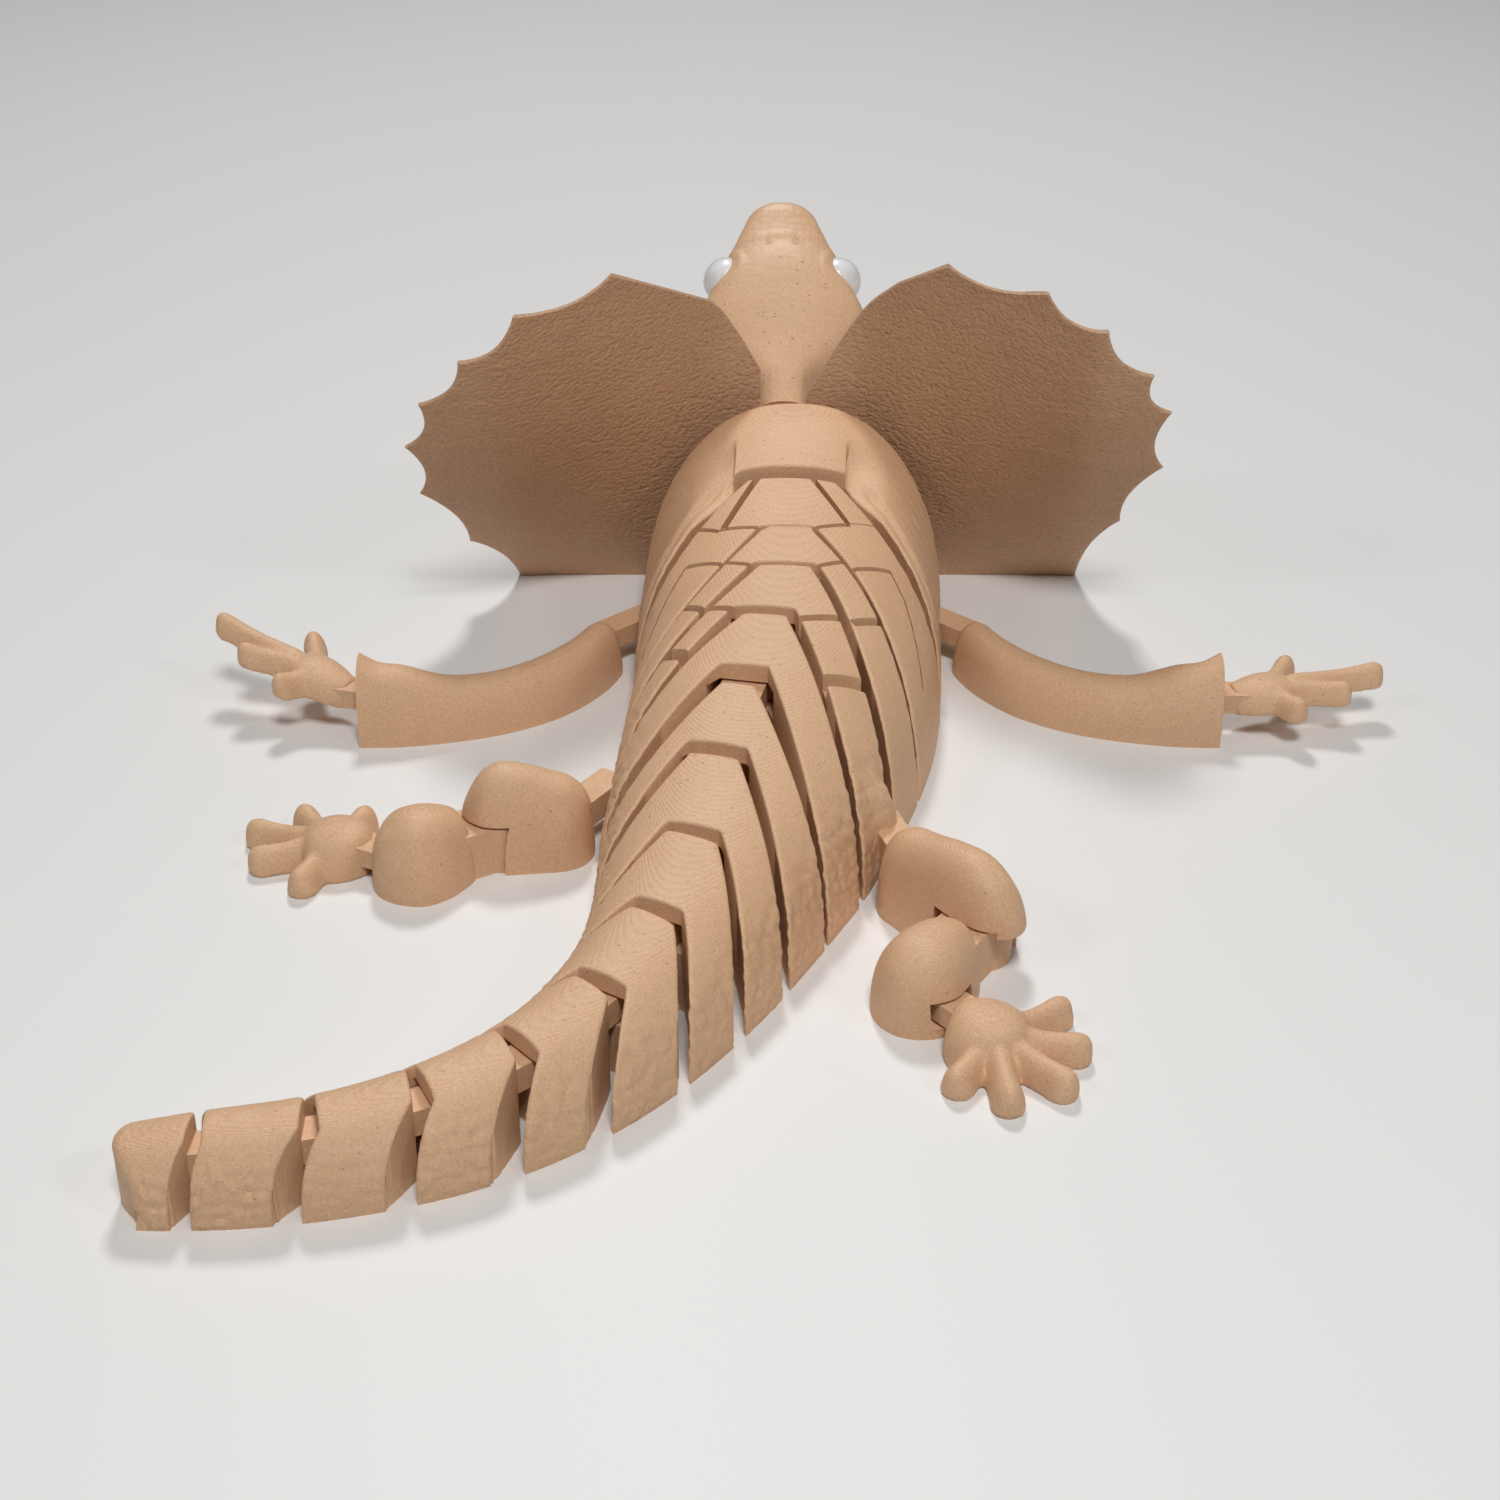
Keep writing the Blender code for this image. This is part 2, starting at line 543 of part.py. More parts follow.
def head():
    """The head on its neck, with a tongue that turns on the chest's front pin."""
    axis, up = head_frame()
    angles = np.linspace(0.0, 2.0 * math.pi, HEAD_SIDES, endpoint=False)
    across = np.sign(np.cos(angles)) * np.abs(np.cos(angles)) ** (2.0 / HEAD_POWER)
    upward = np.sign(np.sin(angles)) * np.abs(np.sin(angles)) ** (2.0 / HEAD_POWER)
    points = []
    for distance, half_width, rise, depth in HEAD_SECTIONS:
        middle = rise - HEAD_WIDEST * (rise + depth)
        level = middle + np.where(upward > 0, upward * (rise - middle), upward * (middle + depth))
        centre = np.array(HEAD_ROOT) + distance * axis
        points += [centre + np.array([half_width * a, 0.0, 0.0]) + v * up for a, v in zip(across, level)]
    rings, sides = len(HEAD_SECTIONS), HEAD_SIDES
    faces = [
        (r * sides + i, r * sides + (i + 1) % sides, (r + 1) * sides + (i + 1) % sides, (r + 1) * sides + i)
        for r in range(rings - 1) for i in range(sides)
    ]
    faces.append(tuple(reversed(range(sides))))
    faces.append(tuple((rings - 1) * sides + i for i in range(sides)))
    faces = [tuple(reversed(face)) for face in faces]
    made = new_object("head", points, faces, (*NECK_PIN, 0.0))
    join(made, neck())
    for side in (-1.0, 1.0):
        cut(made, ball("socket", EYE_RADIUS + FIT, eye_centre(side)))
    reach = NECK_PROFILE[0][0] - NECK_PIN[1] + TONGUE_ROOT
    tongue(made, NECK_PIN, WIDE_TONGUE, WIDE_TONGUE * TONGUE_WAIST, reach, math.radians(90.0), *NECK_TONGUE)
    return made


def neck():
    """A flat-sided neck cut from its side view."""
    count = len(NECK_PROFILE)
    left, right = NECK_PIN[0] - NECK_HALF_WIDTH, NECK_PIN[0] + NECK_HALF_WIDTH
    points = [(left, y, z) for y, z in NECK_PROFILE] + [(right, y, z) for y, z in NECK_PROFILE]
    walls = [(i, (i + 1) % count, count + (i + 1) % count, count + i) for i in range(count)]
    caps = [tuple(reversed(range(count))), tuple(range(count, 2 * count))]
    made = new_object("neck", points, [tuple(reversed(face)) for face in walls + caps])
    return made


def lobe_edge(tips):
    """The outer edge of a frill lobe: hollow between one tip and the next, straight at the floor."""
    edge = []
    for first, last in zip(np.array(tips), np.array(tips)[1:]):
        for share in np.arange(SCALLOP_STEPS) / SCALLOP_STEPS:
            chord = first + share * (last - first)
            inward = np.array(LOBE_CENTRE) - chord
            hollow = SCALLOP_DEPTH * math.sin(math.pi * share) ** SCALLOP_POWER
            edge.append(chord + hollow * inward / np.linalg.norm(inward))
    return np.array([*edge, tips[-1]])


def frill(side_name, side):
    """One leaning lobe of the frill: a thin sheet from the neck out to the scalloped edge."""
    outer = lobe_edge(FRILL_TIPS[side_name])
    count = len(outer)
    at, knots = np.linspace(0.0, 1.0, count), np.linspace(0.0, 1.0, len(INNER_EDGE))
    inner = np.column_stack([np.interp(at, knots, values) for values in np.array(INNER_EDGE).T])
    share = np.linspace(0.0, 1.0, FRILL_ROWS)[:, None, None]
    grid = inner[None] * (1.0 - share) + outer[None] * share
    out, z = grid[..., 0], grid[..., 1]
    lean = (LEAN_LINEAR * z - LEAN_SQUARE * z**2) * np.clip((out - LEAN_START) / LEAN_SPAN, 0.0, 1.0)
    sheet = np.stack([FRILL_X + side * out, FRILL_Y - lean, z], axis=-1).reshape(-1, 3)
    half = np.array([0.0, FRILL_THICKNESS / 2.0, 0.0])
    points = np.vstack([sheet + half, sheet - half])
    back = len(sheet)
    faces = []
    for r in range(FRILL_ROWS - 1):
        for c in range(count - 1):
            a, b, d, e = r * count + c, r * count + c + 1, (r + 1) * count + c, (r + 1) * count + c + 1
            faces += [(a, b, e), (a, e, d), (back + a, back + e, back + b), (back + a, back + d, back + e)]
    rim = [c for c in range(count)] + [r * count + count - 1 for r in range(1, FRILL_ROWS)]
    rim += [(FRILL_ROWS - 1) * count + c for c in range(count - 2, -1, -1)]
    rim += [r * count for r in range(FRILL_ROWS - 2, 0, -1)]
    for i, first in enumerate(rim):
        second = rim[(i + 1) % len(rim)]
        faces.append((first, back + first, back + second, second))
    if side < 0:
        faces = [tuple(reversed(face)) for face in faces]
    made = new_object(f"frill_{side_name}", points, faces, (*NECK_PIN, 0.0))
    back, front, low, high = NECK_CUT
    left, right = NECK_PIN[0] - NECK_HALF_WIDTH - FIT, NECK_PIN[0] + NECK_HALF_WIDTH + FIT
    cut(made, prism(((left, back), (right, back), (right, front), (left, front)), low, high))
    return made


# ---- Limbs ---------------------------------------------------------------------------------------
def round_end(distance, radius):
    """Share of the full width at a distance from the tip of a round end."""
    return np.sqrt(1.0 - np.clip(1.0 - distance / radius, 0.0, 1.0) ** 2)


def bar_rows(total, rows, radii, ends):
    """Distances of the rows of points along a bar, closer together on its round ends."""
    at = np.linspace(0.0, total, rows)
    start, end = radii[0] * ends[0] + ROW_MARGIN, total - radii[1] * ends[1] - ROW_MARGIN
    first = np.array(END_ROWS) * radii[0] if ends[0] else [0.0]
    last = total - np.array(END_ROWS)[::-1] * radii[1] if ends[1] else [total]
    return np.concatenate([first, at[(at > start) & (at < end)], last])


def bar(name, knots, pivot, rows=8, ends=(True, True), levels=LIMB_LEVELS):
    """A flat-bottomed bar along plan points, given as (x, y, half-width, height), with round ends."""
    data = np.array(knots, float)
    reach = np.concatenate([[0.0], np.cumsum(np.hypot(*np.diff(data[:, :2], axis=0).T))])
    radii = (data[0, 2], data[-1, 2])
    at = bar_rows(reach[-1], rows, radii, ends)
    x, y, half_width, height = (smooth(np.column_stack([reach, column]), at) for column in data.T)
    across_x, across_y = np.gradient(y, at), -np.gradient(x, at)
    length = np.hypot(across_x, across_y)
    shrink = np.ones_like(at)
    if ends[0]:
        shrink *= round_end(at, radii[0])
    if ends[1]:
        shrink *= round_end(reach[-1] - at, radii[1])
    shrink = np.maximum(shrink, END_STUB)
    half_width, height = half_width * shrink, height * shrink**END_DROP
    sides = np.array([-1.0] * len(levels) + [0.0] + [1.0] * len(levels))
    levels = np.array([*levels, 1.0, *levels[::-1]])
    across = (sides * (1.0 - levels**LIMB_ROUNDNESS) ** (1.0 / LIMB_ROUNDNESS))[:, None]
    px = x + across * half_width * across_x / length
    py = y + across * half_width * across_y / length
    return shell(name, px, py, levels[:, None] * height, pivot)


def mirrored(points, side):
    """Plan points measured from the body's centre, put on the right (+1) or the left (-1)."""
    return [(BODY_CENTRE_X + side * point[0], *point[1:]) for point in points]


def towards(first, second):
    return math.atan2(second[1] - first[1], second[0] - first[0])


def between(first, second, knots):
    """Bar knots given as a share of the way between two hinges."""
    a, b = np.array(first), np.array(second)
    return [(*(a + share * (b - a)), half_width, height) for share, half_width, height in knots]


def grow(levels):
    return levels[0] - SLOT_CLEARANCE, levels[1] + SLOT_CLEARANCE


def limb_slot(piece, pin, angle, levels):
    slot(piece, pin, LIMB_TONGUE + SLOT_CLEARANCE, LIMB_SLOT_REACH, angle, *grow(levels))


def limb_tongue(piece, pin, reach, angle, levels):
    tongue(piece, pin, LIMB_TONGUE, LIMB_TONGUE_HALF_WIDTH, reach, angle, *levels)


def clear(piece, pin, radius):
    """Cut a piece back to a round wall about a hinge."""
    cut(piece, prism(disc(radius, pin), *CLEAR_LEVELS))


def digit(knots):
    """A finger or a toe."""
    return bar("digit", knots, (0.0, 0.0, 0.0), 3, levels=DIGIT_LEVELS)


def arm(name, side):
    """The upper and lower arm in one piece, with a slot for the hand at its end."""
    shoulder, wrist = mirrored([SHOULDER, WRIST], side)
    knots = mirrored(ARM, side)
    made = bar(name, knots, (*shoulder, 0.0), 11, (True, False))
    limb_slot(made, wrist, 0.0 if side > 0 else math.pi, WRIST_LEVELS)
    root = knots[0][:2]
    reach = math.dist(shoulder, root) + LIMB_ROOT
    limb_tongue(made, shoulder, reach, towards(shoulder, root), SHOULDER_LEVELS)
    return made


def hand(side_name, side):
    """A palm with four fingers, raised off the floor on its wrist tongue."""
    wrist = mirrored([WRIST], side)[0]
    palm = mirrored(PALM, side)
    made = bar(f"hand_{side_name}", palm, (*wrist, 0.0), 5, (False, True))
    root, tip, height = FINGER
    for finger in FINGERS:
        (x0, y0), (x1, y1) = mirrored(finger, side)
        join(made, digit([(x0, y0, root, height), (x1, y1, tip, height)]))
    for vertex in made.data.vertices:
        out = side * (made.location.x + vertex.co.x) / MM - side * palm[0][0]
        vertex.co.z += (WRIST_LEVELS[0] - HAND_DROP + HAND_SLOPES[side_name] * max(0.0, out)) * MM
    reach = math.dist(wrist, palm[0][:2]) + LIMB_ROOT
    limb_tongue(made, wrist, reach, 0.0 if side > 0 else math.pi, WRIST_LEVELS)
    made.data.transform(Matrix.Rotation(math.radians(HAND_TURNS[side_name]), 4, "Z"))
    return made


def thigh(name, hip, knee, ankle, body_root):
    """A thigh with a slot for the hip's tongue at one end and for the shin's at the other."""
    made = bar(name, between(hip, knee, THIGH), (*hip, 0.0))
    limb_slot(made, hip, towards(hip, body_root), HIP_LEVELS)
    opening = KNEE_TONGUE + SLOT_CLEARANCE
    slot(made, knee, opening, LIMB_SLOT_REACH, towards(knee, ankle), *grow(KNEE_LEVELS))
    return made


def shin(name, knee, ankle, palm):
    """A shin whose broad tongue turns under the thigh's knee."""
    made = bar(name, between(knee, ankle, SHIN), (*knee, 0.0))
    clear(made, knee, KNEE_CLEARANCE)
    limb_slot(made, ankle, towards(ankle, palm), ANKLE_LEVELS)
    reach, waist = KNEE_CLEARANCE + LIMB_ROOT, KNEE_TONGUE * KNEE_WAIST
    tongue(made, knee, KNEE_TONGUE, waist, reach, towards(knee, ankle), *KNEE_LEVELS)
    return made


def foot(name, ankle, palm, toes):
    """A foot with five toes."""
    angle = towards(ankle, palm)
    (px, py), (root, tip, height) = palm, TOE
    along = np.array([math.cos(angle), math.sin(angle)])
    knots = [(*(np.array(palm) + distance * along), width, FOOT_HEIGHT) for distance, width in FOOT]
    made = bar(name, knots, (*ankle, 0.0), 6)
    for x, y in toes:
        join(made, digit([(px, py, root, height), (x, y, tip, height)]))
    clear(made, ankle, ANKLE_CLEARANCE)
    limb_tongue(made, ankle, ANKLE_CLEARANCE + LIMB_ROOT, angle, ANKLE_LEVELS)
    return made


def leg(side):
    """Thigh, shin and foot of one side."""
    hip, knee, ankle, palm = (spots[side] for spots in (HIPS, KNEES, ANKLES, PALMS))
    return [
        thigh(f"thigh_{side}", hip, knee, ankle, HIP_ROOTS[side]),
        shin(f"shin_{side}", knee, ankle, palm),
        foot(f"foot_{side}", ankle, palm, TOES[side]),
    ]


def centred(pieces):
    """Move everything so that the origin lies under the middle of the whole toy, on the floor."""
    bpy.context.view_layer.update()
    corners = np.array([
        piece.matrix_world @ Vector(corner) for piece in pieces for corner in piece.bound_box
    ])
    low, high = corners.min(axis=0), corners.max(axis=0)
    shift = Vector(((low[0] + high[0]) / 2.0, (low[1] + high[1]) / 2.0, low[2]))
    for piece in pieces:
        piece.location -= shift


def main():
    for old in list(bpy.data.objects):
        bpy.data.objects.remove(old)
    tan, white = material("tan_plastic", TAN, 0.45), material("white_plastic", WHITE, 0.25)
    pieces = body()
    chest, hip_link = pieces[0], pieces[HIP_LINK]
    opening = WIDE_TONGUE + SLOT_CLEARANCE
    slot(chest, NECK_PIN, opening, NECK_SLOT_REACH, math.radians(90.0), *grow(NECK_TONGUE))
    for name, side in (("right", 1.0), ("left", -1.0)):
        shoulder = mirrored([SHOULDER], side)[0]
        root = mirrored([ARM[0]], side)[0]
        limb_slot(chest, shoulder, towards(shoulder, root), SHOULDER_LEVELS)
        hip, side_root = HIPS[name], HIP_ROOTS[name]
        reach = math.dist(hip, side_root) + HIP_ROOT
        limb_tongue(hip_link, hip, reach, towards(hip, side_root), HIP_LEVELS)
        pieces += [arm(f"arm_{name}", side), hand(name, side), *leg(name)]
        pieces.append(frill(name, side))
        eye = ball(f"eye_{name}", EYE_RADIUS, eye_centre(side))
        eye.data.materials.append(white)
        pieces.append(eye)
    pieces.append(head())
    for piece in pieces:
        if not piece.name.startswith("eye"):
            piece.data.materials.clear()
            piece.data.materials.append(tan)
        shade(piece)
    centred(pieces)


if __name__ == "__main__":
    main()
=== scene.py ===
"""Looks of a printed toy lizard with a frill, whose links and limbs are hinged on upright pins.

Every piece is laid out in millimetres on the toy's plan, with +Y towards the head and +X to the right,
and is moved into the frame by the place of the neck's hinge.  Along the body, s runs from the back edge
of the chest towards the tail, and x runs across it, positive to the right.
"""

from __future__ import annotations

import json
import logging
import math
from collections.abc import Callable, Sequence
from dataclasses import dataclass, field
from enum import Enum

import bpy
import numpy as np
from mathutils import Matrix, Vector

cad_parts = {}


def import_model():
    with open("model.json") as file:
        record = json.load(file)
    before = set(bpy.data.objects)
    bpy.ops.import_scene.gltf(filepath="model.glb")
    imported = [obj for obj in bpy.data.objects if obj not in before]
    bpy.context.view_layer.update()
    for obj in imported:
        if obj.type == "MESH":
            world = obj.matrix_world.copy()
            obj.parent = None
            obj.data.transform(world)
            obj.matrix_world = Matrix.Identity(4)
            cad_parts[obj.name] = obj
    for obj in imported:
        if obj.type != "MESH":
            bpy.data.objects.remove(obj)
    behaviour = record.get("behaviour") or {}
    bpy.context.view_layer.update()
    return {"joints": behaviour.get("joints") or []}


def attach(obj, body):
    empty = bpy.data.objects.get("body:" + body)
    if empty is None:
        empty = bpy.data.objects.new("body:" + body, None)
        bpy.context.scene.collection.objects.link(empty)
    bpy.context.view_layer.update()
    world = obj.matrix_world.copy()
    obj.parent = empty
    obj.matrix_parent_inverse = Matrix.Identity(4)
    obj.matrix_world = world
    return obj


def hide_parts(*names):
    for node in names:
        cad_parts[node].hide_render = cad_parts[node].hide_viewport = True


LOG = logging.getLogger("toy_lizard")
MM = 0.001
SHARP_ANGLE = 32.0
TONGUE_WAIST = 0.72  # half-width of a tongue's straight part, as a share of its round end
LIMB_END, LIMB_WAIST = 3.6, 2.6  # radius and half-width of the tongues in the limbs
STUB = 3.0  # how far a tongue reaches into its own piece
OVERSHOOT = 1.0  # how far a pin's or a hole's cutter runs past the faces that it cuts
Wall = Callable[[np.ndarray], np.ndarray]
Knots = Sequence[Sequence[float]]


class Side(Enum):
    """The two sides of the toy."""

    RIGHT = "right"
    LEFT = "left"

    @property
    def sign(self) -> float:
        """+1 on the right, -1 on the left."""
        return 1.0 if self is Side.RIGHT else -1.0


# ---- Shapes from arrays ------------------------------------------------------------------------------
def smooth(knots: Knots, where: np.ndarray | float) -> np.ndarray:
    """A curve through the knots: cubic pieces whose end slopes are the mean slopes at each knot.

    Args:
        knots: pairs of place and value.
        where: the places asked for.

    Returns:
        The curve's values there, held at the first and last knot beyond them.
    """
    at, values = np.array(knots, float).T
    slopes = np.gradient(values, at)
    where = np.clip(np.asarray(where, float), at[0], at[-1])
    piece = np.clip(np.searchsorted(at, where) - 1, 0, len(at) - 2)
    span = at[piece + 1] - at[piece]
    t = (where - at[piece]) / span
    start = (2 * t**3 - 3 * t**2 + 1) * values[piece] + (t**3 - 2 * t**2 + t) * span * slopes[piece]
    end = (3 * t**2 - 2 * t**3) * values[piece + 1] + (t**3 - t**2) * span * slopes[piece + 1]
    return start + end


def ramp(value: np.ndarray, low: float, high: float) -> np.ndarray:
    """A soft step from 0 at low to 1 at high: 3t squared less 2t cubed."""
    t = np.clip((value - low) / (high - low), 0.0, 1.0)
    return t * t * (3.0 - 2.0 * t)


def round_over(distance: np.ndarray, radius: float) -> np.ndarray:
    """How far a surface sinks near its edge: r less the root of r squared less (r - d) squared."""
    inside = np.clip(radius - distance, 0.0, radius)
    return radius - np.sqrt(radius**2 - inside**2)


def superellipse(turn: np.ndarray, power: float) -> tuple[np.ndarray, np.ndarray]:
    """The unit superellipse: cosine and sine of the turn to the power 2/p, each with its own sign."""
    c, s = np.cos(turn), np.sin(turn)
    return np.sign(c) * np.abs(c) ** (2.0 / power), np.sign(s) * np.abs(s) ** (2.0 / power)


def running_length(x: np.ndarray, y: np.ndarray) -> np.ndarray:
    """The length of a line up to each of its points: the sum of the steps before it."""
    return np.concatenate([[0.0], np.cumsum(np.hypot(np.diff(x), np.diff(y)))])


def turned(points: np.ndarray, angle: float) -> np.ndarray:
    """Plan points turned anticlockwise about the origin by an angle in radians."""
    c, s = math.cos(angle), math.sin(angle)
    return points @ np.array([[c, s], [-s, c]])


def pebbles(u: np.ndarray, v: np.ndarray) -> np.ndarray:
    """Domes round scattered points, one in each unit square, from 0 between them to 1 on top.

    A dome falls with the square of the distance to the nearest of the nine points around.

    Args:
        u: places across, in dome widths.
        v: places along, in dome widths.

    Returns:
        The height at each place.
    """
    best = np.full(np.shape(u), 9.0)
    for du in (-1, 0, 1):
        for dv in (-1, 0, 1):
            cell_u, cell_v = np.floor(u) + du, np.floor(v) + dv
            hashed = np.sin(cell_u * 127.1 + cell_v * 311.7) * 43758.5453
            other = np.sin(cell_u * 269.5 + cell_v * 183.3) * 43758.5453
            near_u = cell_u + 0.2 + 0.6 * (hashed - np.floor(hashed))
            near_v = cell_v + 0.2 + 0.6 * (other - np.floor(other))
            best = np.minimum(best, (near_u - u) ** 2 + (near_v - v) ** 2)
    return np.clip(1.0 - best / 0.36, 0.0, 1.0)


def normals(grid: np.ndarray, inside: np.ndarray) -> np.ndarray:
    """Unit normals of a grid of points, pointing away from the inside.

    Args:
        grid: points, as columns by rows by three.
        inside: a point within the solid for each grid point.

    Returns:
        The normals, as cross products of the grid's two directions.
    """
    across, along = np.gradient(grid, axis=0), np.gradient(grid, axis=1)
    made = np.cross(across, along)
    made /= np.maximum(np.linalg.norm(made, axis=-1, keepdims=True), 1e-9)
    facing = np.sign(np.sum(made * (grid - inside), axis=-1, keepdims=True))
    return made * np.where(facing == 0.0, 1.0, facing)


@dataclass
class Solid:
    """Points in millimetres on the plan, and the faces between them."""

    points: np.ndarray
    faces: list[list[int]]

    def __add__(self, other: Solid) -> Solid:
        """Both solids in one, overlapping as they lie."""
        shifted = [[i + len(self.points) for i in face] for face in other.faces]
        return Solid(np.vstack([self.points, other.points]), self.faces + shifted)


def grid_faces(columns: int, rows: int) -> list[list[int]]:
    """The quads of a grid, facing the side from which columns run right and rows run down.

    Args:
        columns: how many there are.
        rows: how many there are.

    Returns:
        The four point numbers of each quad.
    """
    index = np.arange(columns * rows).reshape(columns, rows)
    quads = np.stack([index[:-1, 1:], index[1:, 1:], index[1:, :-1], index[:-1, :-1]], axis=-1)
    return quads.reshape(-1, 4).tolist()


def loaf(grid: np.ndarray) -> Solid:
    """A solid under a grid whose first and last columns lie on the floor, closed by two walls and a base.

    Args:
        grid: points, as columns by rows by three.

    Returns:
        The closed solid, whose walls drop straight down from the first and the last row.
    """
    columns, rows = grid.shape[:2]
    index = np.arange(columns * rows).reshape(columns, rows)
    floor = index[:, [0, -1]].copy()
    floor[1:-1] = columns * rows + np.arange(2 * (columns - 2)).reshape(-1, 2)
    low = grid[1:-1][:, [0, -1]].copy()
    low[..., 2] = 0.0
    faces = grid_faces(columns, rows)
    for row, edge in ((0, 0), (1, rows - 1)):
        wall = np.stack([index[1:-2, edge], index[2:-1, edge], floor[2:-1, row], floor[1:-2, row]], axis=-1)
        ends = np.array([
            [index[0, edge], index[1, edge], floor[1, row]],
            [index[-2, edge], index[-1, edge], floor[-2, row]],
        ])
        both = [wall, ends] if row == 0 else [wall[:, ::-1], ends[:, ::-1]]
        faces += both[0].tolist() + both[1].tolist()
    outline = np.concatenate([floor[:, 0], index[-1, 1:], floor[-2::-1, 1], index[0, -2:0:-1]])
    faces.append(outline.tolist())
    return Solid(np.vstack([grid.reshape(-1, 3), low.reshape(-1, 3)]), faces)


def tube(rings: np.ndarray, clockwise: bool = False) -> Solid:
    """Rings of points joined side to side, with a flat cap over the first ring and over the last.

    Args:
        rings: points, as rings by sides by three, anticlockwise as seen from beyond the last ring.
        clockwise: whether they run the other way round.

    Returns:
        The closed solid.
    """
    count, sides = rings.shape[:2]
    index = np.arange(count * sides).reshape(count, sides)
    beside = np.roll(index, -1, axis=1)
    quads = np.stack([index[:-1], beside[:-1], beside[1:], index[1:]], axis=-1).reshape(-1, 4)
    faces = quads.tolist() + [index[0][::-1].tolist(), index[-1].tolist()]
    return Solid(rings.reshape(-1, 3), [face[::-1] for face in faces] if clockwise else faces)


def prism(outline: np.ndarray, low: float, high: float) -> Solid:
    """An upright solid over a plan outline.

    Args:
        outline: the plan points, anticlockwise.
        low: its lowest level.
        high: its highest level.

    Returns:
        The closed solid.
    """
    return tube(np.stack([np.column_stack([outline, np.full(len(outline), z)]) for z in (low, high)]))


def drum(radius: float, centre: Sequence[float], low: float = -5.0, high: float = 40.0) -> Solid:
    """An upright cylinder of 48 sides: the centre plus the radius times cosine and sine.

    Args:
        radius: of the cylinder.
        centre: its plan position.
        low: its lowest level, by default below every piece.
        high: its highest level, by default above every piece that it is cut from.

    Returns:
        The closed cylinder.
    """
    turn = np.linspace(0.0, 2.0 * math.pi, 48, endpoint=False)
    outline = np.column_stack([centre[0] + radius * np.cos(turn), centre[1] + radius * np.sin(turn)])
    return prism(outline, low, high)


def stadium(
    radius: float, half_width: float, reach: float, angle: float, centre: Sequence[float]
) -> np.ndarray:
    """A round end about the centre, carried on as a straight bar that points along the angle.

    Args:
        radius: of the round end.
        half_width: of the bar.
        reach: from the centre to the bar's far end.
        angle: direction of the bar, anticlockwise from +X.
        centre: the middle of the round end.

    Returns:
        The outline's points, anticlockwise.
    """
    shoulder = math.asin(min(1.0, half_width / radius))
    arc = np.linspace(shoulder, 2.0 * math.pi - shoulder, 40)
    points = np.column_stack([radius * np.cos(arc), radius * np.sin(arc)])
    points = np.vstack([points, [(reach, -half_width), (reach, half_width)]])
    return turned(points, angle) + np.asarray(centre, float)


def towards(first: Sequence[float], second: Sequence[float]) -> float:
    """The direction from one plan point to another."""
    return math.atan2(second[1] - first[1], second[0] - first[0])


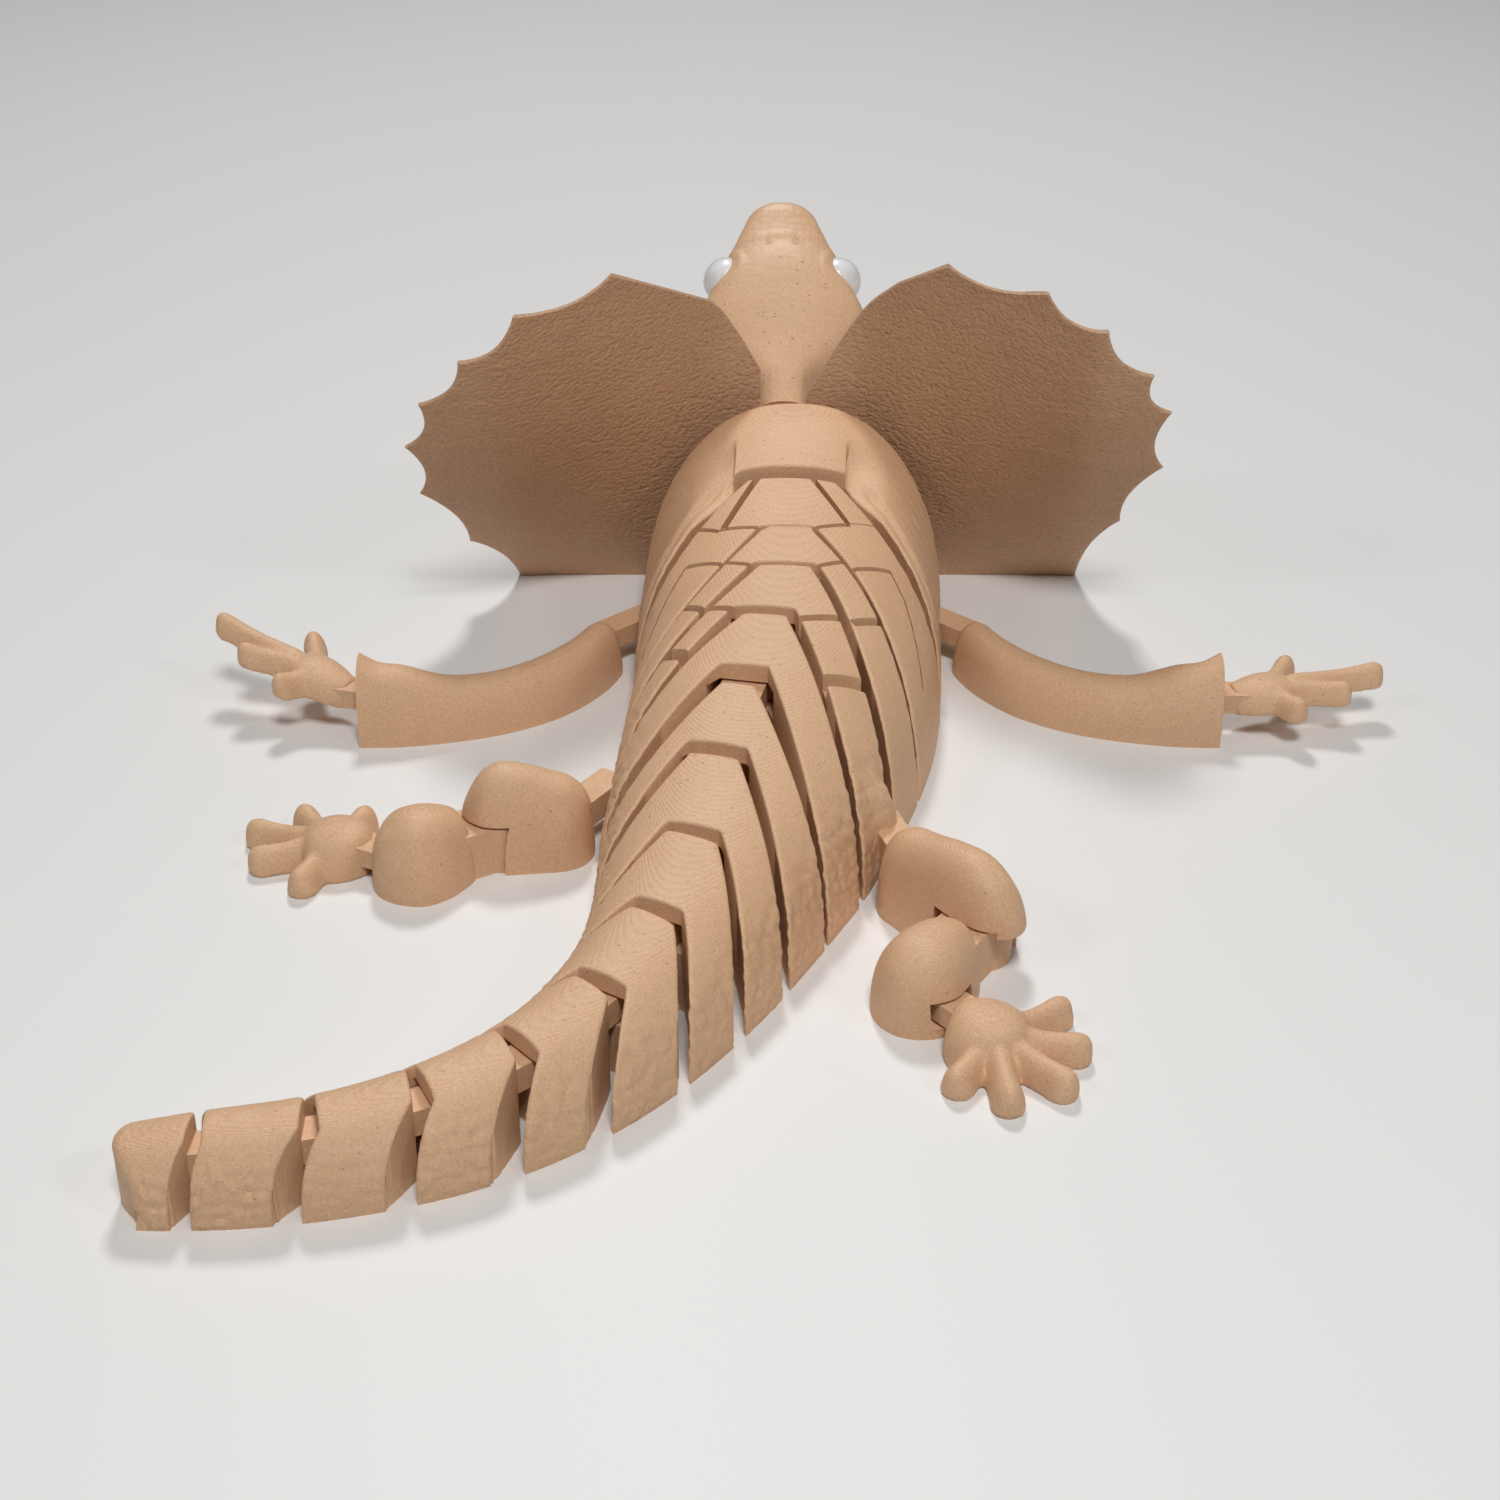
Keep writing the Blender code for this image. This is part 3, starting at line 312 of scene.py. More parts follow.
# ---- Blender objects ---------------------------------------------------------------------------------
@dataclass(frozen=True)
class Workshop:
    """Makes Blender objects from solids laid out on the plan, moved into the frame.

    Attributes:
        shift: from the plan to the frame, in millimetres.
    """

    shift: tuple[float, float, float]

    def make(self, name: str, solid: Solid) -> bpy.types.Object:
        """A mesh object at the origin with the solid's place in its mesh.

        Args:
            name: of the object.
            solid: its shape on the plan.

        Returns:
            The object.
        """
        mesh = bpy.data.meshes.new(name)
        mesh.from_pydata(((solid.points + self.shift) * MM).tolist(), [], solid.faces)
        mesh.validate()
        made = bpy.data.objects.new(name, mesh)
        bpy.context.scene.collection.objects.link(made)
        return made

    def cut(self, target: bpy.types.Object, space: Solid, overlaps: bool) -> None:
        """Cut a space away from an object.

        Args:
            target: the object that changes.
            space: the shape to cut away.
            overlaps: whether the space's own shells run into each other.
        """
        other = self.make("other", space)
        modifier = target.modifiers.new("cut", "BOOLEAN")
        modifier.operation = "DIFFERENCE"
        modifier.solver = "EXACT"
        modifier.use_self = overlaps
        modifier.object = other
        self.apply(target)
        bpy.data.objects.remove(other)

    def carved(self, solid: Solid, *spaces: Solid, overlaps: bool = False) -> Solid:
        """A solid less the spaces cut away from it, one after another.

        Args:
            solid: the shape before the cuts.
            *spaces: what is cut away.
            overlaps: whether the shells of a space run into each other.

        Returns:
            What is left.
        """
        made = self.make("carved", solid)
        for space in spaces:
            self.cut(made, space, overlaps)
        return self.solid_of(made)

    def solid_of(self, made: bpy.types.Object) -> Solid:
        """The solid of an object, which is taken out of the scene.

        Args:
            made: the object.

        Returns:
            Its shape on the plan.
        """
        mesh = made.data
        points = np.empty(len(mesh.vertices) * 3)
        mesh.vertices.foreach_get("co", points)
        faces = [list(polygon.vertices) for polygon in mesh.polygons]
        bpy.data.objects.remove(made)
        return Solid(points.reshape(-1, 3) / MM - self.shift, faces)

    def fused(self, solid: Solid, grain: float = 0.4, rounds: int = 6) -> Solid:
        """Overlapping shells melted into one skin, then eased.

        Args:
            solid: the shells.
            grain: the new mesh's spacing in millimetres.
            rounds: how often the skin is eased.

        Returns:
            One closed solid.
        """
        made = self.make("fused", solid)
        remesh = made.modifiers.new("remesh", "REMESH")
        remesh.mode = "VOXEL"
        remesh.voxel_size = grain * MM
        self.apply(made)
        ease = made.modifiers.new("ease", "SMOOTH")
        ease.factor = 0.5
        ease.iterations = rounds
        self.apply(made)
        return self.solid_of(made)

    def apply(self, target: bpy.types.Object) -> None:
        """Turn the modifiers' result into the object's own mesh.

        Args:
            target: the object.
        """
        bpy.context.view_layer.update()
        shaped = target.evaluated_get(bpy.context.evaluated_depsgraph_get())
        mesh = bpy.data.meshes.new_from_object(shaped)
        target.modifiers.clear()
        target.data = mesh

    def piece(
        self, node: str, solid: Solid, finish: bpy.types.Material, body: str = "", slot: str = "tan_plastic"
    ) -> None:
        """Make a piece, shade it, give it its material and hang it on its body.

        Args:
            node: the frame's node that it stands for.
            solid: its shape on the plan.
            finish: its material.
            body: the body that it rides on, where that isn't named like the node.
            slot: the record's slot for that material; not used.
        """
        made = self.make(f"{node}_print", solid)
        made.data.polygons.foreach_set("use_smooth", np.ones(len(made.data.polygons), bool))
        made.data.set_sharp_from_angle(angle=math.radians(SHARP_ANGLE))
        made.data.materials.clear()
        made.data.materials.append(finish)
        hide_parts(node)
        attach(made, body or node)
        LOG.info("%s: %d faces", made.name, len(made.data.polygons))


# ---- Finishes ----------------------------------------------------------------------------------------
class Nodes:
    """Adds and links the nodes of one material or group."""

    def __init__(self, tree: bpy.types.NodeTree) -> None:
        """Keep the tree."""
        self.tree = tree

    def add(
        self, kind: str, values: dict[str | int, object] | None = None, **settings: object
    ) -> bpy.types.Node:
        """A node with its settings and socket values.

        Args:
            kind: the node's type.
            values: for its sockets, each a constant or another node's socket.
            **settings: the node's own properties.

        Returns:
            The node.
        """
        node = self.tree.nodes.new(kind)
        for name, value in settings.items():
            setattr(node, name, value)
        for socket, value in (values or {}).items():
            if isinstance(value, bpy.types.NodeSocket):
                self.tree.links.new(value, node.inputs[socket])
            else:
                node.inputs[socket].default_value = value
        return node

    def math(
        self, operation: str, first: object, second: object = 0.0, third: object = 0.0
    ) -> bpy.types.NodeSocket:
        """The result of one sum."""
        return self.add("ShaderNodeMath", {0: first, 1: second, 2: third}, operation=operation).outputs[0]

    def ramp(self, value: object, low: float, high: float) -> bpy.types.NodeSocket:
        """A soft step from 0 at low to 1 at high."""
        given = {"Value": value, "From Min": low, "From Max": high}
        return self.add("ShaderNodeMapRange", given, interpolation_type="SMOOTHSTEP").outputs["Result"]


def new_group(
    name: str, inputs: dict[str, float], outputs: Sequence[str]
) -> tuple[Nodes, bpy.types.Node, bpy.types.Node]:
    """A node group with number inputs and outputs.

    Args:
        name: of the group.
        inputs: names and usual values.
        outputs: names.

    Returns:
        Its nodes, its input node and its output node.
    """
    tree = bpy.data.node_groups.new(name, "ShaderNodeTree")
    tree.interface.new_socket("Vector", in_out="INPUT", socket_type="NodeSocketVector")
    for socket, value in inputs.items():
        made = tree.interface.new_socket(socket, in_out="INPUT", socket_type="NodeSocketFloat")
        made.default_value = value
    for socket in outputs:
        tree.interface.new_socket(socket, in_out="OUTPUT", socket_type="NodeSocketFloat")
    nodes = Nodes(tree)
    return nodes, nodes.add("NodeGroupInput"), nodes.add("NodeGroupOutput")


def layer_lines() -> bpy.types.NodeTree:
    """Printed layers: a rounded ridge for each layer of height, wavering a little along its length.

    The height is (half a sine of the layer count, plus a half) to the power 0.6.

    Returns:
        The group.
    """
    nodes, given, result = new_group("printed_layers", {"Pitch": 0.0002, "Waver": 0.2}, ["Height"])
    place = nodes.add("ShaderNodeSeparateXYZ", {0: given.outputs["Vector"]})
    where = given.outputs["Vector"]
    drift = nodes.add("ShaderNodeTexNoise", {"Vector": where, "Scale": 260.0, "Detail": 2.0})
    wander = nodes.math("MULTIPLY", nodes.math("SUBTRACT", drift.outputs[0], 0.5), given.outputs["Waver"])
    count = nodes.math("ADD", nodes.math("DIVIDE", place.outputs["Z"], given.outputs["Pitch"]), wander)
    turn = nodes.math("MULTIPLY", count, 2.0 * math.pi)
    wave = nodes.math("MULTIPLY_ADD", nodes.math("SINE", turn), 0.5, 0.5)
    nodes.tree.links.new(nodes.math("POWER", wave, 0.6), result.inputs["Height"])
    return nodes.tree


def plastic_grain() -> bpy.types.NodeTree:
    """Fine grain of the plastic, its slow drift of tone, and scattered glossy specks.

    Returns:
        The group.
    """
    outputs = ["Grain", "Drift", "Specks"]
    nodes, given, result = new_group("plastic_grain", {"Grain size": 0.0004, "Speck size": 0.0011}, outputs)
    where = given.outputs["Vector"]
    fine = nodes.math("DIVIDE", 1.0, given.outputs["Grain size"])
    coarse = nodes.math("DIVIDE", 1.0, given.outputs["Speck size"])
    grain = nodes.add("ShaderNodeTexNoise", {"Vector": where, "Scale": fine, "Detail": 3.0, "Roughness": 0.6})
    drift = nodes.add("ShaderNodeTexNoise", {"Vector": where, "Scale": 90.0, "Detail": 2.0})
    cells = nodes.add("ShaderNodeTexVoronoi", {"Vector": where, "Scale": coarse, "Randomness": 1.0})
    chance = nodes.add("ShaderNodeSeparateColor", {0: cells.outputs["Color"]})
    near = nodes.ramp(cells.outputs["Distance"], 0.24, 0.08)
    kept = nodes.ramp(chance.outputs[0], 0.86, 0.9)
    nodes.tree.links.new(grain.outputs[0], result.inputs["Grain"])
    nodes.tree.links.new(drift.outputs[0], result.inputs["Drift"])
    nodes.tree.links.new(nodes.math("MULTIPLY", near, kept), result.inputs["Specks"])
    return nodes.tree


class PlasticNodes(Nodes):
    """The nodes of a plastic: its place, its printed layers, its grain and its shader.

    Attributes:
        material: the material that they belong to.
        shader: its surface.
        where: place on the piece.
        layer: the printed layers.
        grain: the grain, the drift of tone and the specks.
    """

    def __init__(self, name: str, layers: bpy.types.NodeTree, grains: bpy.types.NodeTree) -> None:
        """Start a material with both groups in it.

        Args:
            name: of the material.
            layers: the printed layers' group.
            grains: the grain's group.
        """
        self.material = bpy.data.materials.new(name)
        self.material.use_nodes = True
        super().__init__(self.material.node_tree)
        self.shader = self.tree.nodes["Principled BSDF"]
        self.where = self.add("ShaderNodeTexCoord").outputs["Object"]
        self.layer = self.add("ShaderNodeGroup", {"Vector": self.where}, node_tree=layers)
        self.grain = self.add("ShaderNodeGroup", {"Vector": self.where}, node_tree=grains)

    def colour(self, share: bpy.types.NodeSocket, deep: Sequence[float], light: Sequence[float]) -> None:
        """Colour the surface between its deep tone and its light one.

        Args:
            share: how light it is.
            deep: the colour at 0.
            light: the colour at 1.
        """
        tones = {0: share, 6: (*deep, 1.0), 7: (*light, 1.0)}
        mixed = self.add("ShaderNodeMix", tones, data_type="RGBA")
        self.tree.links.new(mixed.outputs[2], self.shader.inputs["Base Color"])

    def gloss(self, amount: float, roughness: float | bpy.types.NodeSocket) -> None:
        """Let the grain change the roughness by an amount."""
        rough = self.math("MULTIPLY_ADD", self.grain.outputs["Grain"], amount, roughness)
        self.tree.links.new(rough, self.shader.inputs["Roughness"])

    def relief(self, height: bpy.types.NodeSocket) -> None:
        """Raise the surface by a height in millimetres."""
        bump = self.add("ShaderNodeBump", {"Height": height, "Distance": MM, "Strength": 1.0})
        self.tree.links.new(bump.outputs[0], self.shader.inputs["Normal"])


@dataclass(frozen=True)
class PrintedPlastic:
    """Satin plastic laid down in thin layers.

    Attributes:
        name: of the material.
        light: colour of its lighter parts.
        deep: colour of its darker parts, from the grain, the drift and the painted shade in the layers'
            valleys.
        roughness: between specks.
        layer_depth: height of the layers' ridges, in millimetres.
        pebble_depth: height of the pebbled skin, in millimetres.
        speck_depth: height of the glossy specks, in millimetres.
        grain_depth: height of the fine grain, in millimetres.
        pebble_counts: pebbles per metre across, along and up.
        grain_tone: how far the grain moves the tone, and from where.
        drift_tone: how far the slow drift moves it.
        layer_tone: how far a layer's ridge moves the tone, as painted shade: darker in the valleys between
            layers and lighter on their ridges.
        speck_gloss: change of the roughness on a speck.
        grain_gloss: change of the roughness with the grain.
        specular: strength of its reflections.
    """

    name: str = "printed_tan"
    light: tuple[float, float, float] = (0.80, 0.52, 0.315)
    deep: tuple[float, float, float] = (0.60, 0.345, 0.19)
    roughness: float = 0.46
    layer_depth: float = 0.03
    pebble_depth: float = 0.0
    speck_depth: float = 0.12
    grain_depth: float = 0.08
    pebble_counts: tuple[float, float, float] = (1000.0, 1000.0, 1500.0)
    grain_tone: tuple[float, float] = (1.7, -0.6)
    drift_tone: float = 0.35
    layer_tone: float = 0.22
    speck_gloss: float = -0.3
    grain_gloss: float = 0.12
    specular: float = 0.45

    def material(self, layers: bpy.types.NodeTree, grains: bpy.types.NodeTree) -> bpy.types.Material:
        """The material: tone from drift and grain, painted shade in the layers' valleys, gloss on the specks,
        and all of them as relief.

        Args:
            layers: the printed layers' group.
            grains: the grain's group.

        Returns:
            The finished material.
        """
        nodes = PlasticNodes(self.name, layers, grains)
        ridge = nodes.layer.outputs["Height"]
        grain, drift, specks = (nodes.grain.outputs[name] for name in ("Grain", "Drift", "Specks"))
        tone = nodes.math("MULTIPLY_ADD", grain, *self.grain_tone)
        tone = nodes.math("MULTIPLY_ADD", drift, self.drift_tone, tone)
        # Painted shade: the tone falls in the valleys between printed layers and rises on their ridges.
        tone = nodes.math("MULTIPLY_ADD", ridge, self.layer_tone, tone)
        nodes.colour(tone, self.deep, self.light)
        nodes.gloss(self.grain_gloss, nodes.math("MULTIPLY_ADD", specks, self.speck_gloss, self.roughness))
        height = nodes.math("MULTIPLY", ridge, self.layer_depth)
        height = nodes.math("MULTIPLY_ADD", grain, self.grain_depth, height)
        height = nodes.math("MULTIPLY_ADD", specks, self.speck_depth, height)
        if self.pebble_depth:
            stretched = nodes.add("ShaderNodeMapping", {"Vector": nodes.where, "Scale": self.pebble_counts})
            cells = nodes.add("ShaderNodeTexVoronoi", {"Vector": stretched.outputs[0], "Scale": 1.0})
            dome = nodes.math("SUBTRACT", 1.0, nodes.math("POWER", cells.outputs["Distance"], 2.0))
            height = nodes.math("MULTIPLY_ADD", dome, self.pebble_depth, height)
        nodes.relief(height)
        nodes.shader.inputs["Specular IOR Level"].default_value = self.specular
        nodes.material.diffuse_color = (*self.light, 1.0)
        return nodes.material


@dataclass(frozen=True)
class GlossyWhite:
    """Smooth white plastic.

    Attributes:
        name: of the material.
        light: colour of its bright parts.
        deep: colour of its greyer parts.
        roughness: of its gloss.
        layer_depth: height of the layers' ridges, in millimetres.
        grain_gloss: change of the roughness with the grain.
        coat: weight and roughness of the clear coat.
    """

    name: str = "eye_white"
    light: tuple[float, float, float] = (0.9, 0.9, 0.89)
    deep: tuple[float, float, float] = (0.78, 0.78, 0.78)
    roughness: float = 0.14
    layer_depth: float = 0.012
    grain_gloss: float = 0.08
    coat: tuple[float, float] = (0.4, 0.08)

    def material(self, layers: bpy.types.NodeTree, grains: bpy.types.NodeTree) -> bpy.types.Material:
        """The material, with faint layers and a slow drift of grey.

        Args:
            layers: the printed layers' group.
            grains: the grain's group.

        Returns:
            The finished material.
        """
        nodes = PlasticNodes(self.name, layers, grains)
        nodes.colour(nodes.grain.outputs["Drift"], self.deep, self.light)
        nodes.gloss(self.grain_gloss, self.roughness)
        nodes.relief(nodes.math("MULTIPLY", nodes.layer.outputs["Height"], self.layer_depth))
        nodes.shader.inputs["Coat Weight"].default_value = self.coat[0]
        nodes.shader.inputs["Coat Roughness"].default_value = self.coat[1]
        return nodes.material


# ---- The body ----------------------------------------------------------------------------------------
@dataclass(frozen=True)
class Gap:
    """A chevron gap between two links.

    Attributes:
        step: from the one wall to the other along the middle.
        notch: reach of the back wall's flat middle, left and right.
        nose: reach of the front wall's flat middle, left and right.
        before: slopes of the back wall beyond it, left and right.
        after: slopes of the front wall beyond it, left and right.
        tilt: lean of the back wall.
        fan: lean of the front wall.
        tongue: radius of the tongue's round end.
    """

    step: float
    notch: tuple[float, float]
    nose: tuple[float, float]
    before: tuple[float, float]
    after: tuple[float, float]
    tilt: float = 0.0
    fan: float = 0.0
    tongue: float = 3.4


GAPS = (
    Gap(1.4, (10.0, 10.0), (8.0, 8.0), (1.45, 1.45), (1.45, 1.45), 0.0, 0.02),
    Gap(1.2, (5.2, 4.4), (4.9, 4.0), (1.8, 1.72), (1.8, 1.72)),
    Gap(1.1, (5.9, 5.3), (4.7, 4.1), (1.85, 2.05), (1.9, 2.12)),
    Gap(2.4, (7.4, 3.0), (5.2, 2.0), (2.1, 2.1), (1.85, 2.03), tongue=5.0),
    Gap(5.2, (6.0, 2.0), (4.6, 1.0), (1.9, 2.07), (2.05, 1.67), 0.0, 0.09, 5.0),
    Gap(2.7, (7.0, 2.9), (5.8, 2.2), (2.3, 1.92), (2.3, 1.85), 0.1, 0.1, 5.0),
    Gap(2.3, (5.5, 3.2), (5.0, 3.5), (2.4, 1.72), (2.4, 1.8), 0.12, 0.2, 5.0),
    Gap(2.7, (4.6, 3.4), (4.2, 3.5), (1.55, 1.4), (1.5, 1.3), 0.15, 0.25),
    Gap(2.4, (4.2, 4.2), (3.5, 3.5), (1.5, 1.5), (1.45, 1.45), 0.0, 0.15),
    Gap(2.3, (4.2, 4.2), (3.6, 3.6), (1.1, 1.1), (1.1, 1.1), 0.0, 0.19),
    Gap(2.0, (4.0, 4.0), (3.4, 3.4), (0.95, 0.95), (0.95, 0.95), 0.0, 0.17),
    Gap(1.9, (3.8, 3.8), (3.2, 3.2), (0.85, 0.85), (0.85, 0.85), 0.0, 0.16),
    Gap(1.8, (3.4, 3.4), (3.0, 3.0), (0.5, 0.5), (0.5, 0.5), 0.0, 0.12),
)


@dataclass(frozen=True)
class Groove:
    """A groove between two plates on the back.

    Attributes:
        path: points along its middle, as s and x.
        width: across the groove.
        depth: below the surface.
        fade: the share of the depth that is left at its far end.
    """

    path: tuple[tuple[float, float], ...]
    width: float = 1.2
    depth: float = 3.0
    fade: float = 1.0


@dataclass(frozen=True)
class BodyPlan:
    """The long loaf that the links are cut from: its bent centre line and its cross-section.

    Attributes:
        start: plan position of the chest's back edge.
        lengths: of the links, from the front.
        headings: of the centre line at each gap, in degrees from -Y towards -X.
        widths: knots of the half-width.
        shares: the left half-width as a share of the right one.
        heights: knots of the height.
        chest_heights: knots of the chest's own height.
        power: of the superellipse that shapes the cross-section.
        front_face: s of the chest's front in the middle, its curve back, at what x, and the power.
        end_face: how far the tail's end curves in, and at what x.
        pin_inset: from a wall to the round end of the tongue behind it.
        tongue_levels: how far under the skin a tongue lies, and its thickness.
    """

    start: tuple[float, float] = (-1.7, -25.5)
    lengths: tuple[float, ...] = (
        18.4, 13.0, 15.0, 18.0, 19.5, 18.6, 17.7, 17.2, 15.7, 14.5, 14.3, 14.5, 12.0,
    )
    headings: tuple[float, ...] = (
        3.0, 2.0, 4.0, 10.0, 12.0, 12.5, 14.0, 21.0, 34.0, 49.0, 64.0, 76.0, 85.0, 89.0,
    )
    widths: Knots = (
        (-30.0, 27.0), (-15.0, 28.0), (0.0, 28.0), (33.0, 27.2), (49.0, 26.5), (65.0, 25.2),
        (78.0, 23.6), (89.0, 21.8), (99.0, 19.4), (109.0, 17.0), (130.0, 12.7), (143.0, 10.9),
        (158.0, 9.4), (172.0, 8.2), (185.0, 7.5), (198.0, 7.0), (209.0, 6.3),
    )
    shares: Knots = (
        (-30.0, 1.0), (20.0, 1.0), (50.0, 0.97), (75.0, 0.92), (105.0, 0.92), (130.0, 0.97),
        (150.0, 1.0), (209.0, 1.0),
    )
    heights: Knots = (
        (-10.0, 33.6), (0.0, 33.0), (19.0, 31.2), (33.0, 30.3), (49.0, 29.0), (65.5, 27.4),
        (84.5, 23.7), (102.8, 20.3), (120.6, 18.0), (137.6, 16.5), (153.3, 15.0), (167.8, 14.0),
        (182.0, 13.0), (196.6, 12.3), (209.0, 10.4),
    )
    chest_heights: Knots = (
        (-30.0, 37.6), (-20.0, 38.4), (-12.0, 37.8), (-5.0, 36.1), (2.0, 33.9), (30.0, 33.0),
    )
    power: float = 2.35
    front_face: tuple[float, float, float, float] = (-21.5, 10.0, 28.0, 2.2)
    end_face: tuple[float, float] = (3.0, 6.3)
    pin_inset: float = 1.0
    tongue_levels: tuple[float, float] = (3.6, 4.0)

    def stations(self) -> np.ndarray:
        """The s of each gap, and of the tail's end."""
        return np.concatenate([[0.0], np.cumsum(self.lengths)])

    def heading(self, s: np.ndarray | float) -> np.ndarray:
        """Direction of the tail in radians, from -Y towards -X."""
        return np.radians(smooth([(-30.0, 0.0), *zip(self.stations(), self.headings)], s))

    def bent(self, s: np.ndarray, x: np.ndarray) -> tuple[np.ndarray, np.ndarray]:
        """Plan position at s along the body and x across it.

        The centre line is the running sum of half-millimetre steps along the heading.

        Args:
            s: places along the body.
            x: places across it.

        Returns:
            The plan's x and y.
        """
        first, last, step = -40.0, 230.0, 0.5
        at = np.arange(first, last, step)
        turn = self.heading(at + step / 2.0)
        steps = np.column_stack([-np.sin(turn), -np.cos(turn)]) * step
        places = np.vstack([[0.0, 0.0], np.cumsum(steps, axis=0)[:-1]])
        places = places - places[int(round(-first / step))] + self.start
        turn = self.heading(s)
        px = np.interp(s, at, places[:, 0]) + x * np.cos(turn)
        py = np.interp(s, at, places[:, 1]) - x * np.sin(turn)
        return px, py

    def half_width(self, s: np.ndarray, x: np.ndarray) -> np.ndarray:
        """Half-width at s on the side of x."""
        return smooth(self.widths, s) * np.where(np.asarray(x) < 0.0, smooth(self.shares, s), 1.0)

    def top(self, s: np.ndarray, x: np.ndarray, heights: Knots) -> np.ndarray:
        """Height of the skin: the height times the superellipse's share at x."""
        share = np.clip(1.0 - (np.abs(x) / self.half_width(s, x)) ** self.power, 0.0, 1.0)
        return smooth(heights, s) * share ** (1.0 / self.power)

    def notch(self, gap: int) -> Wall:
        """Back wall of the link before a gap."""
        data = GAPS[gap]
        return self.swept(self.stations()[gap], data.tilt, data.notch, data.before)

    def nose(self, gap: int) -> Wall:
        """Front wall of the link after a gap."""
        data = GAPS[gap]
        return self.swept(self.stations()[gap] + data.step, data.fan, data.nose, data.after)

    def swept(
        self, start: float, lean: float, flat: tuple[float, float], slopes: tuple[float, float]
    ) -> Wall:
        """A wall that is flat in the middle and sweeps back on either side.

        Args:
            start: its s in the middle.
            lean: its slope across the middle.
            flat: how far the middle reaches, left and right.
            slopes: of its arms, left and right.

        Returns:
            The wall's s as a function of x.
        """
        return lambda x: (
            start + lean * x
            + slopes[0] * np.maximum(-x - flat[0], 0.0)
            + slopes[1] * np.maximum(x - flat[1], 0.0)
        )

    def chest_front(self, x: np.ndarray) -> np.ndarray:
        """The chest's front face, which curves back by a power of x."""
        start, back, reach, power = self.front_face
        return start + back * (np.abs(x) / reach) ** power

    def tail_end(self, x: np.ndarray) -> np.ndarray:
        """The tail's rounded end, which curves in with the square of x."""
        inward, reach = self.end_face
        return self.stations()[-1] - inward * (x / reach) ** 2

    def hinge(self, gap: int) -> Hinge:
        """The hinge that crosses a gap.

        Args:
            gap: its number from the front.

        Returns:
            The hinge, whose pin stands in the piece before the gap.
        """
        data = GAPS[gap]
        s = self.stations()[gap]
        px, py = self.bent(s - data.tongue - self.pin_inset, 0.5 * (data.notch[1] - data.notch[0]))
        under, thick = self.tongue_levels
        high = float(smooth(self.heights, s)) - under
        angle = math.radians(-90.0) - float(self.heading(s))
        pin, levels = (float(px), float(py)), (high - thick, high)
        return Hinge(pin, data.tongue, angle, levels, data.tongue * TONGUE_WAIST)


@dataclass(frozen=True)
class Hinge:
    """A flat tongue with a hole, in a slot with an upright pin.

    Attributes:
        pin: plan position of the pin.
        radius: of the tongue's round end.
        angle: direction from the pin to the tongue's own piece.
        levels: lowest and highest level of the tongue.
        waist: half-width of its straight part.
        pin_radius: of the pin.
        play: between the pin and its hole.
        clearance: between the tongue and its slot.
    """

    pin: tuple[float, float]
    radius: float
    angle: float
    levels: tuple[float, float]
    waist: float
    pin_radius: float = 1.4
    play: float = 0.4
    clearance: float = 0.5

    def tongue(self, shop: Workshop, reach: float) -> Solid:
        """The tongue.

        Args:
            shop: makes the objects.
            reach: from the pin to its root.

        Returns:
            A plate with the pin's hole.
        """
        low, high = self.levels
        outline = stadium(self.radius, self.waist, reach, self.angle, self.pin)
        hole = drum(self.pin_radius + self.play, self.pin, low - OVERSHOOT, high + OVERSHOOT)
        return shop.carved(prism(outline, low, high), hole)

    def slot(self, shop: Workshop, reach: float = 18.0) -> Solid:
        """The space of the slot, less the pin that stands in it.

        Args:
            shop: makes the objects.
            reach: from the pin to the slot's open end, well outside the piece.

        Returns:
            The space to cut away.
        """
        wide = self.radius + self.clearance
        low, high = self.levels[0] - self.clearance, self.levels[1] + self.clearance
        # The straight part is all but as wide as the round end, so that the tongue can swing.
        outline = stadium(wide, wide * 0.999, reach, self.angle, self.pin)
        pin = drum(self.pin_radius, self.pin, low - OVERSHOOT, high + OVERSHOOT)
        return shop.carved(prism(outline, low, high), pin)


GROOVES: dict[int, tuple[Groove, ...]] = {
    1: (
        Groove(((0.4, 3.2), (15.2, 10.2)), 1.1),
        Groove(((0.4, -6.0), (16.6, -11.6)), 1.4),
        Groove(((15.6, 10.6), (19.6, 3.6)), 1.1, 2.6),
        Groove(((17.0, -12.2), (19.4, -4.6)), 1.1, 2.6),
        Groove(((17.4, -12.4), (9.0, -20.2)), 0.9, 2.0),
        Groove(((30.6, 11.4), (24.6, 18.0)), 1.0, 2.4),
        Groove(((30.6, -10.6), (24.4, -18.0)), 1.0, 2.4),
        Groove(((15.3, 10.4), (10.8, 17.6)), 0.35, 0.5),
        Groove(((24.6, 17.6), (30.0, 20.3), (44.0, 24.6)), 0.35, 0.6),
        Groove(((24.4, -18.0), (31.0, -21.0), (42.0, -24.4)), 0.5, 0.8),
    ),
    2: (
        Groove(((28.4, 10.6), (33.2, 4.2)), 1.1, 2.6),
        Groove(((29.6, -11.4), (33.2, -4.8)), 1.1, 2.6),
        Groove(((46.0, 12.6), (39.6, 18.6)), 1.6, 2.6),
        Groove(((46.0, -12.0), (38.2, -19.2)), 1.4, 2.6),
    ),
    3: (
        Groove(((49.8, 3.6), (45.4, 12.2)), 1.7, 3.4),
        Groove(((45.6, -11.6), (47.8, -6.0)), 1.6, 3.2),
        Groove(((64.8, 10.0), (58.2, 19.0)), 2.6, 3.2),
        Groove(((61.0, -11.0), (53.4, -19.4)), 2.4, 3.2),
    ),
}


SCALE_DEPTHS = {
    3: 0.25, 4: 0.3, 5: 0.3, 6: 0.3, 7: 0.3, 8: 0.34, 9: 0.25, 10: 0.36, 11: 0.18, 12: 0.36, 13: 0.36,
}


